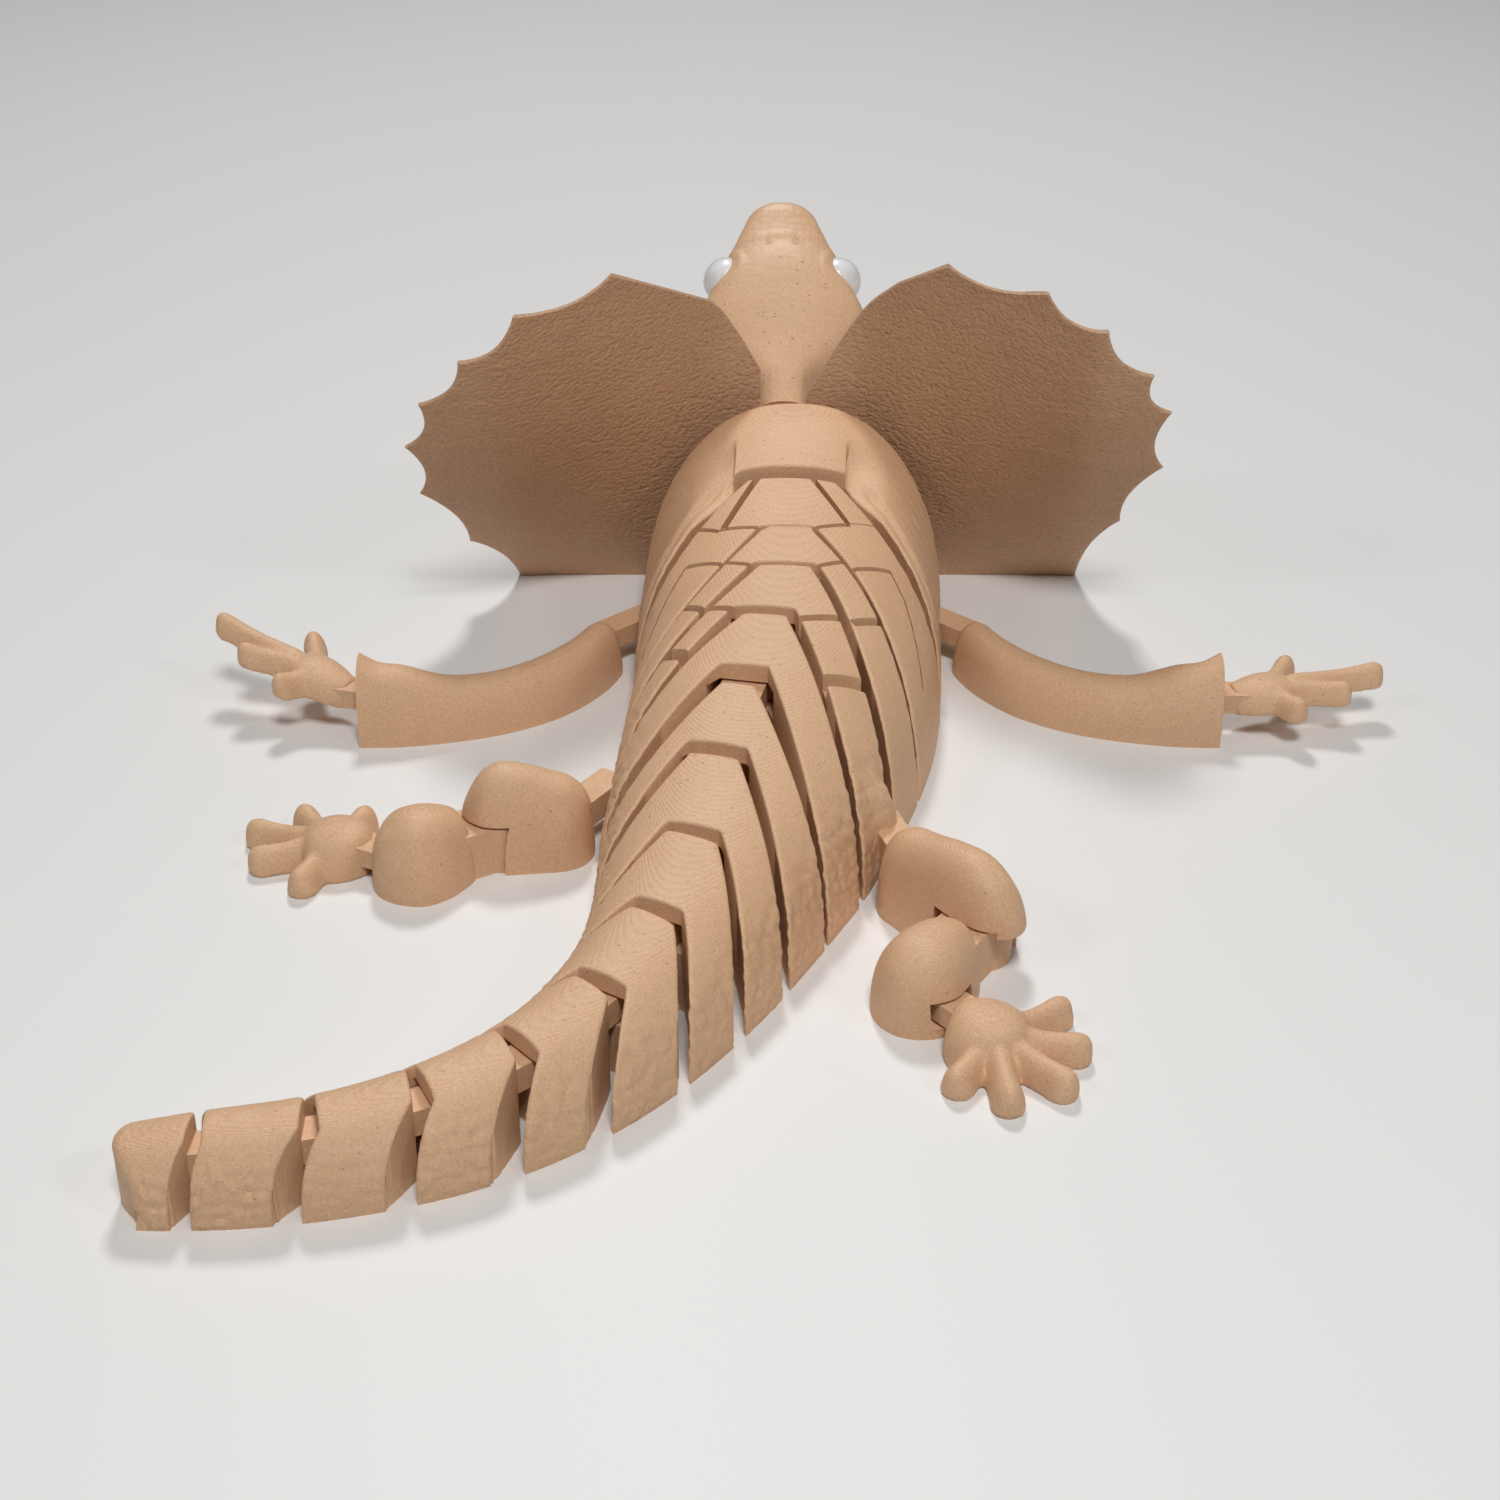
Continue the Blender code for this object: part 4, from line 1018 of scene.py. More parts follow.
@dataclass
class Torso:
    """The chest, the links and the tail.

    Attributes:
        shop: makes the objects.
        plan: the loaf that they are cut from.
        spacing: of the skin's points on the front links and on the others, in millimetres.
        edge_rows: distances from a wall to the rows of points closest to it.
        edge_clear: distance from a wall to the first of the evenly spaced rows.
        edge: radius of the rounded edges along the walls.
        chest_edge: radius of the edge at the chest's front.
        tail_edge: radius of the edge at the tail's end.
        plain: height over the floor up to which the relief fades in.
        forward: how far the second link's flat middle is brought forward.
        slot_beyond: how far a slot runs on past its round end.
        scale_sizes: of the coarse and of the fine scales on the lower sides, along and round.
        ripple: depth of the faint waves on the sides.
        tab: reach of the chest's raised tab, left and right.
        hollow: depth of the hollows beside it.
        hollow_start: the s at which they start, and at which they are full.
        trough: depth of the long troughs on the chest's flanks.
        trough_place: their distance in front of the first gap, and their half-width.
        hip_swell: height of the swelling over the right hip, then its place and its reach in s and x.
    """

    shop: Workshop
    plan: BodyPlan = field(default_factory=BodyPlan)
    spacing: tuple[float, float] = (0.4, 0.5)
    coarser: float = 1.6
    edge_rows: tuple[float, ...] = (0.0, 0.04, 0.14, 0.3, 0.5)
    edge_clear: float = 0.8
    edge: float = 0.45
    chest_edge: float = 1.2
    tail_edge: float = 1.6
    slot_beyond: float = 10.0
    plain: float = 1.2
    forward: float = 0.95
    scale_sizes: tuple[tuple[float, float], tuple[float, float]] = ((2.1, 1.8), (1.1, 1.0))
    ripple: float = 0.05
    tab: tuple[float, float] = (10.6, 9.6)
    hollow: float = 2.4
    hollow_start: tuple[float, float] = (-10.5, -3.5)
    trough: float = 0.9
    trough_place: tuple[float, float] = (5.2, 2.6)
    hip_swell: tuple[float, float, float, float, float] = (1.8, 76.0, 23.0, 4.6, 3.2)

    def build(self, finish: bpy.types.Material, extra_slots: Solid, extra_tongues: Solid) -> None:
        """The chest and every link.

        Args:
            finish: their material.
            extra_slots: the spaces of the neck's and the shoulders' slots, cut from the chest.
            extra_tongues: the hips' tongues, which belong to the third link.
        """
        for index in range(len(GAPS) + 1):
            name = "chest" if index == 0 else f"link_{index:02d}"
            cutters = self.cutters(index)
            if index == 0:
                cutters = cutters + extra_slots
            spaces = [cutters] if cutters.faces else []
            solid = self.shop.carved(loaf(self.skin(index)), *spaces, overlaps=index in GROOVES)
            if index > 0:
                gap = GAPS[index - 1]
                reach = gap.tongue + self.plan.pin_inset + gap.step + STUB
                solid = solid + self.plan.hinge(index - 1).tongue(self.shop, reach)
            if index == 3:
                solid = solid + extra_tongues
            self.shop.piece(name, solid, finish)

    def walls(self, index: int) -> tuple[Wall, Wall]:
        """The front and the back wall of a piece.

        Args:
            index: of the piece, the chest being piece 0.

        Returns:
            The two walls.
        """
        front = self.plan.chest_front if index == 0 else self.plan.nose(index - 1)
        back = self.plan.tail_end if index == len(GAPS) else self.plan.notch(index)
        return (self.nearly_closed(front) if index == 2 else front), back

    def nearly_closed(self, wall: Wall) -> Wall:
        """A front wall whose flat middle is brought forward, so that the gap there is a hairline."""
        return lambda x: wall(x) - self.forward * ramp(np.abs(x), 4.7, 3.5)

    def skin(self, index: int) -> np.ndarray:
        """The skin of a piece, as columns across the body by rows from its front wall to its back wall.

        Columns sit at even steps round the cross-section, x = w cos(t)^(2/p) and z = h sin(t)^(2/p).
        Rows share out the way between the walls, and lie closer at both, where the edges are rounded.

        Args:
            index: of the piece.

        Returns:
            Its points.
        """
        plan = self.plan
        front, back = self.walls(index)
        heights = plan.chest_heights if index == 0 else plan.heights
        middle = 0.5 * (float(front(np.array(0.0))) + float(back(np.array(0.0))))
        length = float(back(np.array(0.0))) - float(front(np.array(0.0)))
        wide, high = float(smooth(plan.widths, middle)), float(smooth(heights, middle))
        spacing = self.spacing[0] if index <= 3 else self.spacing[1]
        across, level = superellipse(np.linspace(0.0, math.pi, 2001), plan.power)
        run = running_length(-across * wide, level * high)
        even = np.linspace(0.0, run[-1], int(run[-1] / spacing))
        across, level = np.interp(even, run, -across)[:, None], np.interp(even, run, level)[:, None]
        near, clear = np.array(self.edge_rows) / length, self.edge_clear / length
        rows = np.linspace(0.0, 1.0, max(6, int(length / spacing)))
        inner = rows[(rows > clear) & (rows < 1.0 - clear)]
        along = np.concatenate([near, inner, 1.0 - near[::-1]])[None, :]
        # The walls bend with x and the half-width changes with s, so both are settled together.
        s = np.full((len(across), along.shape[1]), middle)
        for _ in range(12):
            x = across * plan.half_width(s, across)
            s = front(x) + (back(x) - front(x)) * along
        x = across * plan.half_width(s, across)
        z = smooth(heights, s) * level
        z[[0, -1]] = 0.0
        px, py = plan.bent(s, x)
        grid = np.stack([px, py, z], axis=-1)
        cx, cy = plan.bent(s, np.zeros_like(x))
        away = normals(grid, np.stack([cx, cy, np.full_like(z, -2.0)], axis=-1))
        sink = self.edges(index, s, x) - self.relief(index, s, x, z, z / smooth(heights, s))
        grid = grid - away * (sink * ramp(z, 0.0, self.plain))[..., None]
        grid[[0, -1], :, 2] = 0.0
        return grid

    def edges(self, index: int, s: np.ndarray, x: np.ndarray) -> np.ndarray:
        """How far the skin sinks at its rounded edges along the two walls.

        Args:
            index: of the piece, whose outer ends are rounder.
            s: places along the body.
            x: places across it.

        Returns:
            The depth in millimetres.
        """
        front, back = self.walls(index)
        front_edge = self.chest_edge if index == 0 else self.edge
        back_edge = self.tail_edge if index == len(GAPS) else self.edge
        sink = np.zeros_like(s)
        for wall, radius in ((front, front_edge), (back, back_edge)):
            slope = (wall(x + 0.05) - wall(x - 0.05)) / 0.1
            sink += round_over(np.abs(s - wall(x)) / np.sqrt(1.0 + slope**2), radius)
        return sink

    def relief(
        self, index: int, s: np.ndarray, x: np.ndarray, z: np.ndarray, level: np.ndarray
    ) -> np.ndarray:
        """What stands proud of the plain skin.

        Scales are domes on the lower sides.  The chest has a raised tab at its back edge with a hollow
        beside each end, and a long shallow trough on each flank.

        Args:
            index: of the piece.
            s: places along the body.
            x: places across it.
            z: heights.
            level: heights as shares of the piece's own.

        Returns:
            The relief in millimetres.
        """
        low = ramp(level, 0.86, 0.6)
        around = z + 0.5 * np.abs(x)
        coarse, fine = self.scale_sizes
        scales = pebbles(s / coarse[0] + 0.3 * np.sin(around), around / coarse[1])
        depth = SCALE_DEPTHS.get(index, 0.1)
        small = pebbles(s / fine[0], around / fine[1])
        proud = depth * low * scales + 0.3 * depth * small * ramp(level, 0.97, 0.7)
        waves = np.sin(s * 1.9 + np.sin(x * 0.45) * 1.6)
        proud = proud + self.ripple * waves * ramp(level, 0.95, 0.7)
        if index == 0:
            beside = np.where(x > 0.0, x - self.tab[1], -x - self.tab[0])
            hollow = ramp(beside, 0.0, 0.9) * ramp(beside, 8.0, 1.5) * ramp(s, *self.hollow_start)
            before, half = self.trough_place
            flank = s - GAPS[0].before[0] * np.maximum(np.abs(x) - GAPS[0].notch[0], 0.0)
            trough = ramp(np.abs(flank + before), half, 0.4) * ramp(np.abs(x), 13.0, 16.0)
            proud = proud - self.hollow * hollow - self.trough * trough
        if index == 3:
            swell, at_s, at_x, reach_s, reach_x = self.hip_swell
            place = np.hypot((s - at_s) / reach_s, (x - at_x) / reach_x)
            proud = proud + swell * ramp(place, 1.0, 0.1) * ramp(z, 20.0, 12.0)
        return proud

    def cutters(self, index: int) -> Solid:
        """The slot at a piece's back wall and the grooves between its plates.

        Args:
            index: of the piece.

        Returns:
            The spaces to cut away.
        """
        made = Solid(np.zeros((0, 3)), [])
        if index < len(GAPS):
            hinge = self.plan.hinge(index)
            made = made + hinge.slot(self.shop, hinge.radius + hinge.clearance + self.slot_beyond)
        for groove in GROOVES.get(index, ()):
            made = made + self.channel(groove, self.plan.chest_heights if index == 0 else self.plan.heights)
        return made

    def channel(self, groove: Groove, heights: Knots) -> Solid:
        """The space of a groove: a box section carried along its path, as deep everywhere below the skin.

        Args:
            groove: its path, width and depth.
            heights: of the piece that it is cut into.

        Returns:
            A closed solid that reaches above the skin.
        """
        path = np.array(groove.path)
        run = running_length(*path.T)
        step, above = 0.8, 4.0
        at = np.linspace(0.0, run[-1], max(2, int(run[-1] / step)))
        s, x = np.interp(at, run, path[:, 0]), np.interp(at, run, path[:, 1])
        ds, dx = np.gradient(s), np.gradient(x)
        size = np.hypot(ds, dx)
        half = 0.5 * groove.width
        rings = []
        for side in (1.0, -1.0):
            side_s, side_x = s + side * half * dx / size, x - side * half * ds / size
            px, py = self.plan.bent(side_s, side_x)
            skin = self.plan.top(side_s, side_x, heights)
            depth = groove.depth * np.interp(at, [0.0, run[-1]], [1.0, groove.fade])
            rings += [np.column_stack([px, py, skin + above]), np.column_stack([px, py, skin - depth])]
        return tube(np.stack([rings[0], rings[1], rings[3], rings[2]], axis=1))


# ---- The head and the frill --------------------------------------------------------------------------
@dataclass
class Head:
    """The head on its neck, tilted up, with two round eyes.

    Attributes:
        shop: makes the objects.
        root: the start of the head's axis.
        pitch: of that axis, in degrees.
        sections: distance along the axis, half-width, height over the axis, depth under it.
        power: of the superellipse that shapes a section.
        widest: how far down the widest level of a section lies.
        eye: distance along, across and under the axis, and radius.
        eye_play: between an eye and its socket.
        neck_profile: the neck's outline from the side.
        neck_pin: plan position of the neck's hinge.
        neck_half_width: of the neck and its gap in the frill.
        neck_tongue: radius of its tongue's round end.
        neck_levels: lowest and highest level of the tongue.
        neck_slot: from the pin to the open end of the tongue's slot.
        neck_rounding: of its long edges.
        snout: reach of the rounding at its tip, and the share that it takes off there.
        brow: height of the raised plate over the brows.
        brow_ends: where that plate rises, where it ends over an eye and where it fades over the nose.
        lid: height and reach of the ridge round an eye.
        mouth: depth of the mouth's line.
        mouth_line: share of the way down from the widest level, slope, and where it meets that share.
    """

    shop: Workshop
    root: tuple[float, float, float] = (-3.0, 0.4, 37.6)
    pitch: float = 30.0
    sections: Knots = (
        (-0.6, 4.4, -0.6, 10.0), (5.0, 5.4, 0.0, 13.5), (10.0, 9.4, 0.1, 15.5), (15.0, 14.2, 0.3, 16.8),
        (20.0, 16.8, 0.6, 17.5), (25.0, 16.2, 0.9, 17.0), (30.0, 13.9, 1.1, 16.0), (35.0, 11.8, 0.9, 14.6),
        (39.0, 10.6, 0.2, 13.4), (42.0, 9.6, -1.2, 12.4), (46.0, 8.0, -1.5, 11.4), (49.5, 6.4, -1.6, 10.6),
        (51.6, 4.6, -2.2, 9.8),
    )
    power: float = 2.5
    widest: float = 0.42
    eye: tuple[float, float, float, float] = (32.8, 11.0, 4.8, 4.7)
    eye_play: float = 0.04
    neck_profile: Knots = (
        (-1.6, 9.0), (6.0, 9.0), (12.0, 14.0), (24.0, 34.0), (22.0, 41.0), (0.0, 33.4), (-1.6, 33.4),
    )
    neck_pin: tuple[float, float] = (-3.0, -11.0)
    neck_half_width: float = 4.6
    neck_tongue: float = 5.0
    neck_levels: tuple[float, float] = (14.0, 19.0)
    neck_slot: float = 14.0
    neck_rounding: float = 1.3
    snout: tuple[float, float] = (1.6, 0.14)
    brow: float = 0.6
    brow_ends: Knots = ((14.0, 24.0), (37.6, 36.9), (46.0, 35.0))
    lid: tuple[float, float] = (0.25, 5.6)
    mouth: float = 0.45
    mouth_line: tuple[float, float, float] = (0.42, 0.02, 30.0)

    def axes(self) -> tuple[np.ndarray, np.ndarray]:
        """The head's axis and its upward direction."""
        c, s = math.cos(math.radians(self.pitch)), math.sin(math.radians(self.pitch))
        return np.array([0.0, c, s]), np.array([0.0, -s, c])

    def hinge(self) -> Hinge:
        """The neck's hinge in the chest."""
        waist = self.neck_tongue * TONGUE_WAIST
        return Hinge(self.neck_pin, self.neck_tongue, math.radians(90.0), self.neck_levels, waist)

    def eye_centre(self, side: Side) -> np.ndarray:
        """The middle of an eye.

        Args:
            side: right or left.

        Returns:
            Its place.
        """
        axis, up = self.axes()
        along, across, under, _ = self.eye
        return np.array(self.root) + along * axis - under * up + np.array([side.sign * across, 0.0, 0.0])

    def build(self, finish: bpy.types.Material, white: bpy.types.Material) -> None:
        """The head with its neck, and the eyes.

        Args:
            finish: the head's material.
            white: the eyes' material.
        """
        sockets = (self.ball(self.eye_centre(side), self.eye[3] + self.eye_play) for side in Side)
        solid = self.shop.carved(self.skull(), *sockets) + self.neck()
        reach = self.neck_profile[0][0] - self.neck_pin[1] + STUB
        self.shop.piece("head", solid + self.hinge().tongue(self.shop, reach), finish)
        for side in Side:
            ball = self.ball(self.eye_centre(side), self.eye[3])
            self.shop.piece(f"eye_{side.value}", ball, white, "head", "white_plastic")

    def skull(self) -> Solid:
        """The head as rings of superellipses along its axis, with brows, lids and a rounded snout.

        A ring point at turn t lies at x = w cos(t)^(2/p), and as high as sin(t)^(2/p) takes it from the
        widest level to the top or to the bottom.

        Returns:
            The closed skull.
        """
        data = np.array(self.sections)
        sides, rings = 168, 150
        start, end = data[0, 0], data[-1, 0]
        at = start + (end - start) * np.sin(np.linspace(0.0, 0.5 * math.pi, rings)) ** 1.1
        wide, rise, depth = (
            smooth(np.column_stack([data[:, 0], column]), at)[:, None] for column in data.T[1:]
        )
        turn = np.linspace(0.0, 2.0 * math.pi, sides, endpoint=False)[None, :]
        across, upward = superellipse(turn, self.power)
        middle = rise - self.widest * (rise + depth)
        level = middle + np.where(upward > 0, upward * (rise - middle), upward * (middle + depth))
        reach, taken = self.snout
        rounding = np.sqrt(1.0 - np.clip(1.0 - (end - at) / reach, 0.0, 1.0) ** 2)[:, None]
        shrink = 1.0 - taken + taken * rounding
        axis, up = self.axes()
        x = across * wide * shrink
        level = (level - middle) * shrink + middle
        spine = np.array(self.root) + at[:, None, None] * axis
        grid = spine + x[..., None] * np.array([1.0, 0.0, 0.0]) + level[..., None] * up
        away = normals(grid, spine + middle[..., None] * up)
        on_top = ramp(upward * np.ones_like(x), 0.25, 0.75)
        aside = ramp(np.abs(x), 1.6, 3.6)
        start, over_eye, over_nose = self.brow_ends
        plate = aside * ramp(at[:, None], *over_eye) + (1.0 - aside) * ramp(at[:, None], *over_nose)
        proud = self.brow * plate * on_top * ramp(at[:, None], *start)
        for side in Side:
            gap = np.linalg.norm(grid - self.eye_centre(side), axis=-1)
            proud = proud + self.lid[0] * ramp(np.abs(gap - self.lid[1]), 1.2, 0.1) * on_top
        share, slope, flat = self.mouth_line
        line = np.abs(level - (middle - share * (middle + depth)) - slope * (at[:, None] - flat))
        proud = proud - self.mouth * ramp(line, 0.45, 0.1) * ramp(at[:, None], 22.0, 27.0)
        proud = proud + 0.05 * pebbles(at[:, None] / 1.5 + 0.0 * x, x / 1.5) * on_top
        grid = grid + away * (proud * ramp(end - at[:, None], 0.0, 1.0))[..., None]
        return tube(grid, clockwise=True)

    def neck(self) -> Solid:
        """A neck cut from its side view, with its long edges rounded over.

        Returns:
            The closed neck.
        """
        profile = np.array(self.neck_profile)
        sides = self.neck_pin[0] + self.neck_half_width * np.array([-1.0, 1.0])
        rings = np.stack([np.column_stack([np.full(len(profile), x), profile]) for x in sides])
        made = self.shop.make("neck", tube(rings))
        rounding = made.modifiers.new("rounding", "BEVEL")
        rounding.width = self.neck_rounding * MM
        rounding.segments = 4
        rounding.limit_method = "ANGLE"
        self.shop.apply(made)
        return self.shop.solid_of(made)

    def ball(self, centre: np.ndarray, radius: float) -> Solid:
        """A sphere: rings at even polar angles, closed by a fan at each pole.

        Args:
            centre: its middle.
            radius: its size.

        Returns:
            The closed sphere.
        """
        sides, rings = 48, 31
        polar = np.linspace(0.0, math.pi, rings + 1)[1:-1, None]
        turn = np.linspace(0.0, 2.0 * math.pi, sides, endpoint=False)[None, :]
        grid = np.stack([
            np.cos(polar) + 0.0 * turn, np.sin(polar) * np.cos(turn), np.sin(polar) * np.sin(turn),
        ], axis=-1).reshape(-1, 3)
        points = np.vstack([grid, [[1.0, 0.0, 0.0], [-1.0, 0.0, 0.0]]]) * radius + centre
        index = np.arange(len(grid)).reshape(-1, sides)
        beside = np.roll(index, -1, axis=1)
        quads = np.stack([index[:-1], index[1:], beside[1:], beside[:-1]], axis=-1).reshape(-1, 4).tolist()
        first = np.stack([np.full(sides, len(grid)), index[0], beside[0]], axis=-1).tolist()
        last = np.stack([index[-1], np.full(sides, len(grid) + 1), beside[-1]], axis=-1).tolist()
        return Solid(points, quads + first + last)


@dataclass
class Frill:
    """The two lobes of the frill: thin leaning sheets with a scalloped edge.

    Attributes:
        shop: makes the objects.
        middle: plan position of the frill's middle.
        thickness: of a sheet at the bead along its outer edge.
        thin: its share elsewhere.
        bead: distances from the outer edge at which the bead starts and is full.
        rounding: radius of the outer edge.
        rib: height of the ribs.
        tips: distance from the middle and height of each tip, from the top round to the floor.
        inner: the edge along the neck.
        overlap: how far a lobe runs into the neck's side.
        brow: where each lobe's top edge meets it.
        centre: the point that the scallops hollow towards.
        hollow: depth of a scallop.
        lean: where the lean starts, how far it grows, and its linear and square part.
    """

    shop: Workshop
    middle: tuple[float, float] = (-1.5, 1.2)
    thickness: float = 1.6
    thin: float = 0.8
    bead: tuple[float, float] = (6.0, 1.0)
    rounding: float = 0.6
    rib: float = 0.14
    tips: dict[Side, Knots] = field(default_factory=lambda: {
        Side.RIGHT: (
            (27.7, 68.8), (43.7, 69.3), (53.4, 65.0), (62.2, 56.1), (66.4, 48.0), (67.0, 34.7),
            (61.8, 19.4), (56.6, 0.0),
        ),
        Side.LEFT: (
            (32.6, 68.7), (48.6, 66.6), (58.4, 58.9), (66.2, 49.8), (69.8, 39.8), (68.8, 27.5),
            (61.6, 12.8), (53.6, 0.0),
        ),
    })
    overlap: float = 0.2
    inner: Knots = ((14.3, 57.0), (9.0, 48.3), (5.0, 41.0), (2.0, 37.0), (2.0, 0.0))
    brow: dict[Side, tuple[float, float]] = field(default_factory=lambda: {
        Side.RIGHT: (19.5, 62.5), Side.LEFT: (19.5, 60.2),
    })
    centre: tuple[float, float] = (27.0, 33.5)
    hollow: float = 2.2
    lean: tuple[float, float, float, float] = (12.0, 40.0, 0.98, 0.0055)

    def build(self, finish: bpy.types.Material, head: Head) -> None:
        """Both lobes, cut clear of the neck.

        Args:
            finish: their material.
            head: gives the neck's place and width.
        """
        half = head.neck_half_width - self.overlap
        left, right = head.neck_pin[0] - half, head.neck_pin[0] + half
        gap = prism(np.array([(left, -8.0), (right, -8.0), (right, 14.0), (left, 14.0)]), -4.0, 60.0)
        for side in Side:
            self.shop.piece(f"frill_{side.value}", self.shop.carved(self.lobe(side), gap), finish, "head")

    def edge(self, side: Side, steps: int) -> np.ndarray:
        """The outer edge: between two tips it dips towards the centre by the sine to the power 0.8.

        Args:
            side: right or left.
            steps: points from one tip to the next.

        Returns:
            The points, as distance out and height.
        """
        tips = np.array(self.tips[side])
        share = (np.arange(steps) / steps)[None, :, None]
        chord = tips[:-1, None] + share * (tips[1:, None] - tips[:-1, None])
        inward = np.array(self.centre) - chord
        dip = self.hollow * np.sin(math.pi * share) ** 0.8
        curve = chord + dip * inward / np.linalg.norm(inward, axis=-1, keepdims=True)
        return np.vstack([curve.reshape(-1, 2), tips[-1:]])

    def lobe(self, side: Side) -> Solid:
        """A lobe: rows from the inner edge out to the scalloped one, leaning back as it rises.

        The lean at height z is (0.98 z - 0.0055 z squared) times the share of the way out.  Ribs run
        out to the tips, and a bead follows the outer edge.

        Args:
            side: right or left.

        Returns:
            The closed sheet.
        """
        steps, rows = 22, 72
        outer = self.edge(side, steps)
        count = len(outer)
        at = np.linspace(0.0, 1.0, count)
        corners = np.array((self.brow[side], *self.inner))
        knots = np.linspace(0.0, 1.0, len(corners))
        inner = np.column_stack([np.interp(at, knots, values) for values in corners.T])
        window = np.full(steps + 1, 1.0 / (steps + 1))
        padded = np.pad(inner, ((steps // 2, steps // 2), (0, 0)), mode="reflect", reflect_type="odd")
        inner = np.column_stack([np.convolve(values, window, mode="valid") for values in padded.T])
        share = np.concatenate([np.linspace(0.0, 0.97, rows - 5), [0.98, 0.987, 0.993, 0.998, 1.0]])
        grid = inner[None] * (1.0 - share[:, None, None]) + outer[None] * share[:, None, None]
        out, z = grid[..., 0], grid[..., 1]
        start, span, linear, square = self.lean
        grown, eased = (out - start) / span, 0.004
        grown = 0.5 * (grown + np.sqrt(grown**2 + eased))
        grown = 0.5 * (grown + 1.0 - np.sqrt((grown - 1.0) ** 2 + eased))
        lean = (linear * z - square * z**2) * grown
        reach = np.linalg.norm(outer - inner, axis=-1)[None, :] * (1.0 - share[:, None])
        rib = np.cos(math.pi * np.arange(count) / steps)[None, :] ** 16 * ramp(share[:, None], 0.35, 0.95)
        half = 0.5 * self.thickness * (self.thin + (1.0 - self.thin) * ramp(reach, *self.bead))
        half = half - round_over(reach, self.rounding) + self.rib * rib
        half = np.maximum(half, 0.06) * (1.0 + 0.0 * z)
        x, y = self.middle[0] + side.sign * out, self.middle[1] - lean
        front, back = (np.stack([x, y + sign * half, z], axis=-1).reshape(-1, 3) for sign in (1.0, -1.0))
        total = rows * count
        index = np.arange(total).reshape(rows, count)
        quads = np.stack([index[:-1, :-1], index[:-1, 1:], index[1:, 1:], index[1:, :-1]], axis=-1)
        quads = quads.reshape(-1, 4)
        rim = np.concatenate([index[0], index[1:, -1], index[-1, -2::-1], index[-2:0:-1, 0]])
        after = np.roll(rim, -1)
        walls = np.stack([rim, total + rim, total + after, after], axis=-1)
        faces = np.vstack([quads, total + quads[:, ::-1], walls])
        if side is Side.LEFT:
            faces = faces[:, ::-1]
        return Solid(np.vstack([front, back]), faces.tolist())


# ---- Limbs -------------------------------------------------------------------------------------------
@dataclass(frozen=True)
class Bar:
    """A flat-bottomed bar along plan points.

    Attributes:
        knots: x, y, half-width and height.
        ends: whether the first and the last end are round.
        power: of the superellipse that shapes its cross-section.
        spacing: of the skin's points, in millimetres.
    """

    knots: Knots
    ends: tuple[bool, bool] = (True, True)
    power: float = 2.4
    spacing: float = 0.45

    def solid(self) -> Solid:
        """The bar: columns round half a superellipse, rows along the way, shrunk to a round end.

        At a distance d from a round end's tip the width keeps the share
        root(1 - (1 - d/r) squared), and the height that share to the power 0.4.

        Returns:
            The closed bar.
        """
        data = np.array(self.knots, float)
        reach = running_length(data[:, 0], data[:, 1])
        total = reach[-1]
        at = np.linspace(0.0, total, max(8, int(total / self.spacing)))
        close = 0.5 * (1.0 - np.cos(np.linspace(0.0, 0.5 * math.pi, 9)[:-1]))
        first = data[0, 2] * close if self.ends[0] else np.zeros(0)
        last = total - data[-1, 2] * close if self.ends[1] else np.zeros(0)
        keep = (at >= (data[0, 2] * 0.55 if self.ends[0] else 0.0))
        keep &= at <= total - (data[-1, 2] * 0.55 if self.ends[1] else 0.0)
        at = np.unique(np.round(np.concatenate([first, at[keep], last]), 4))
        x, y, half_width, height = (smooth(np.column_stack([reach, column]), at) for column in data.T)
        along_x, along_y = np.gradient(x, at), np.gradient(y, at)
        length = np.hypot(along_x, along_y)
        shrink = np.ones_like(at)
        tips = ((self.ends[0], at, data[0, 2]), (self.ends[1], total - at, data[-1, 2]))
        for wanted, distance, radius in tips:
            if wanted:
                shrink = shrink * np.sqrt(1.0 - np.clip(1.0 - distance / radius, 0.0, 1.0) ** 2)
        shrink = np.maximum(shrink, 0.1)
        half_width, height = half_width * shrink, height * shrink**0.4
        columns = max(18, int((2.0 * height.max() + 2.0 * half_width.max()) / self.spacing))
        across, level = superellipse(np.linspace(0.0, math.pi, columns)[:, None], self.power)
        px = x + across * half_width * along_y / length
        py = y - across * half_width * along_x / length
        grid = np.stack([px, py, level * height], axis=-1)
        grid[[0, -1], :, 2] = 0.0
        return loaf(grid)


def digit(first: Sequence[float], last: Sequence[float], sizes: Knots) -> Solid:
    """A finger or a toe: a bar with a slim waist and a rounder tip.

    Args:
        first: plan position of its root.
        last: plan position of its tip.
        sizes: half-width and height at the root, at the waist (two thirds of the way) and at the tip.

    Returns:
        The closed digit.
    """
    root, tip = np.array(first, float), np.array(last, float)
    places = (root, root + 0.66 * (tip - root), tip)
    return Bar([(*place, *size) for place, size in zip(places, sizes)], power=2.1).solid()


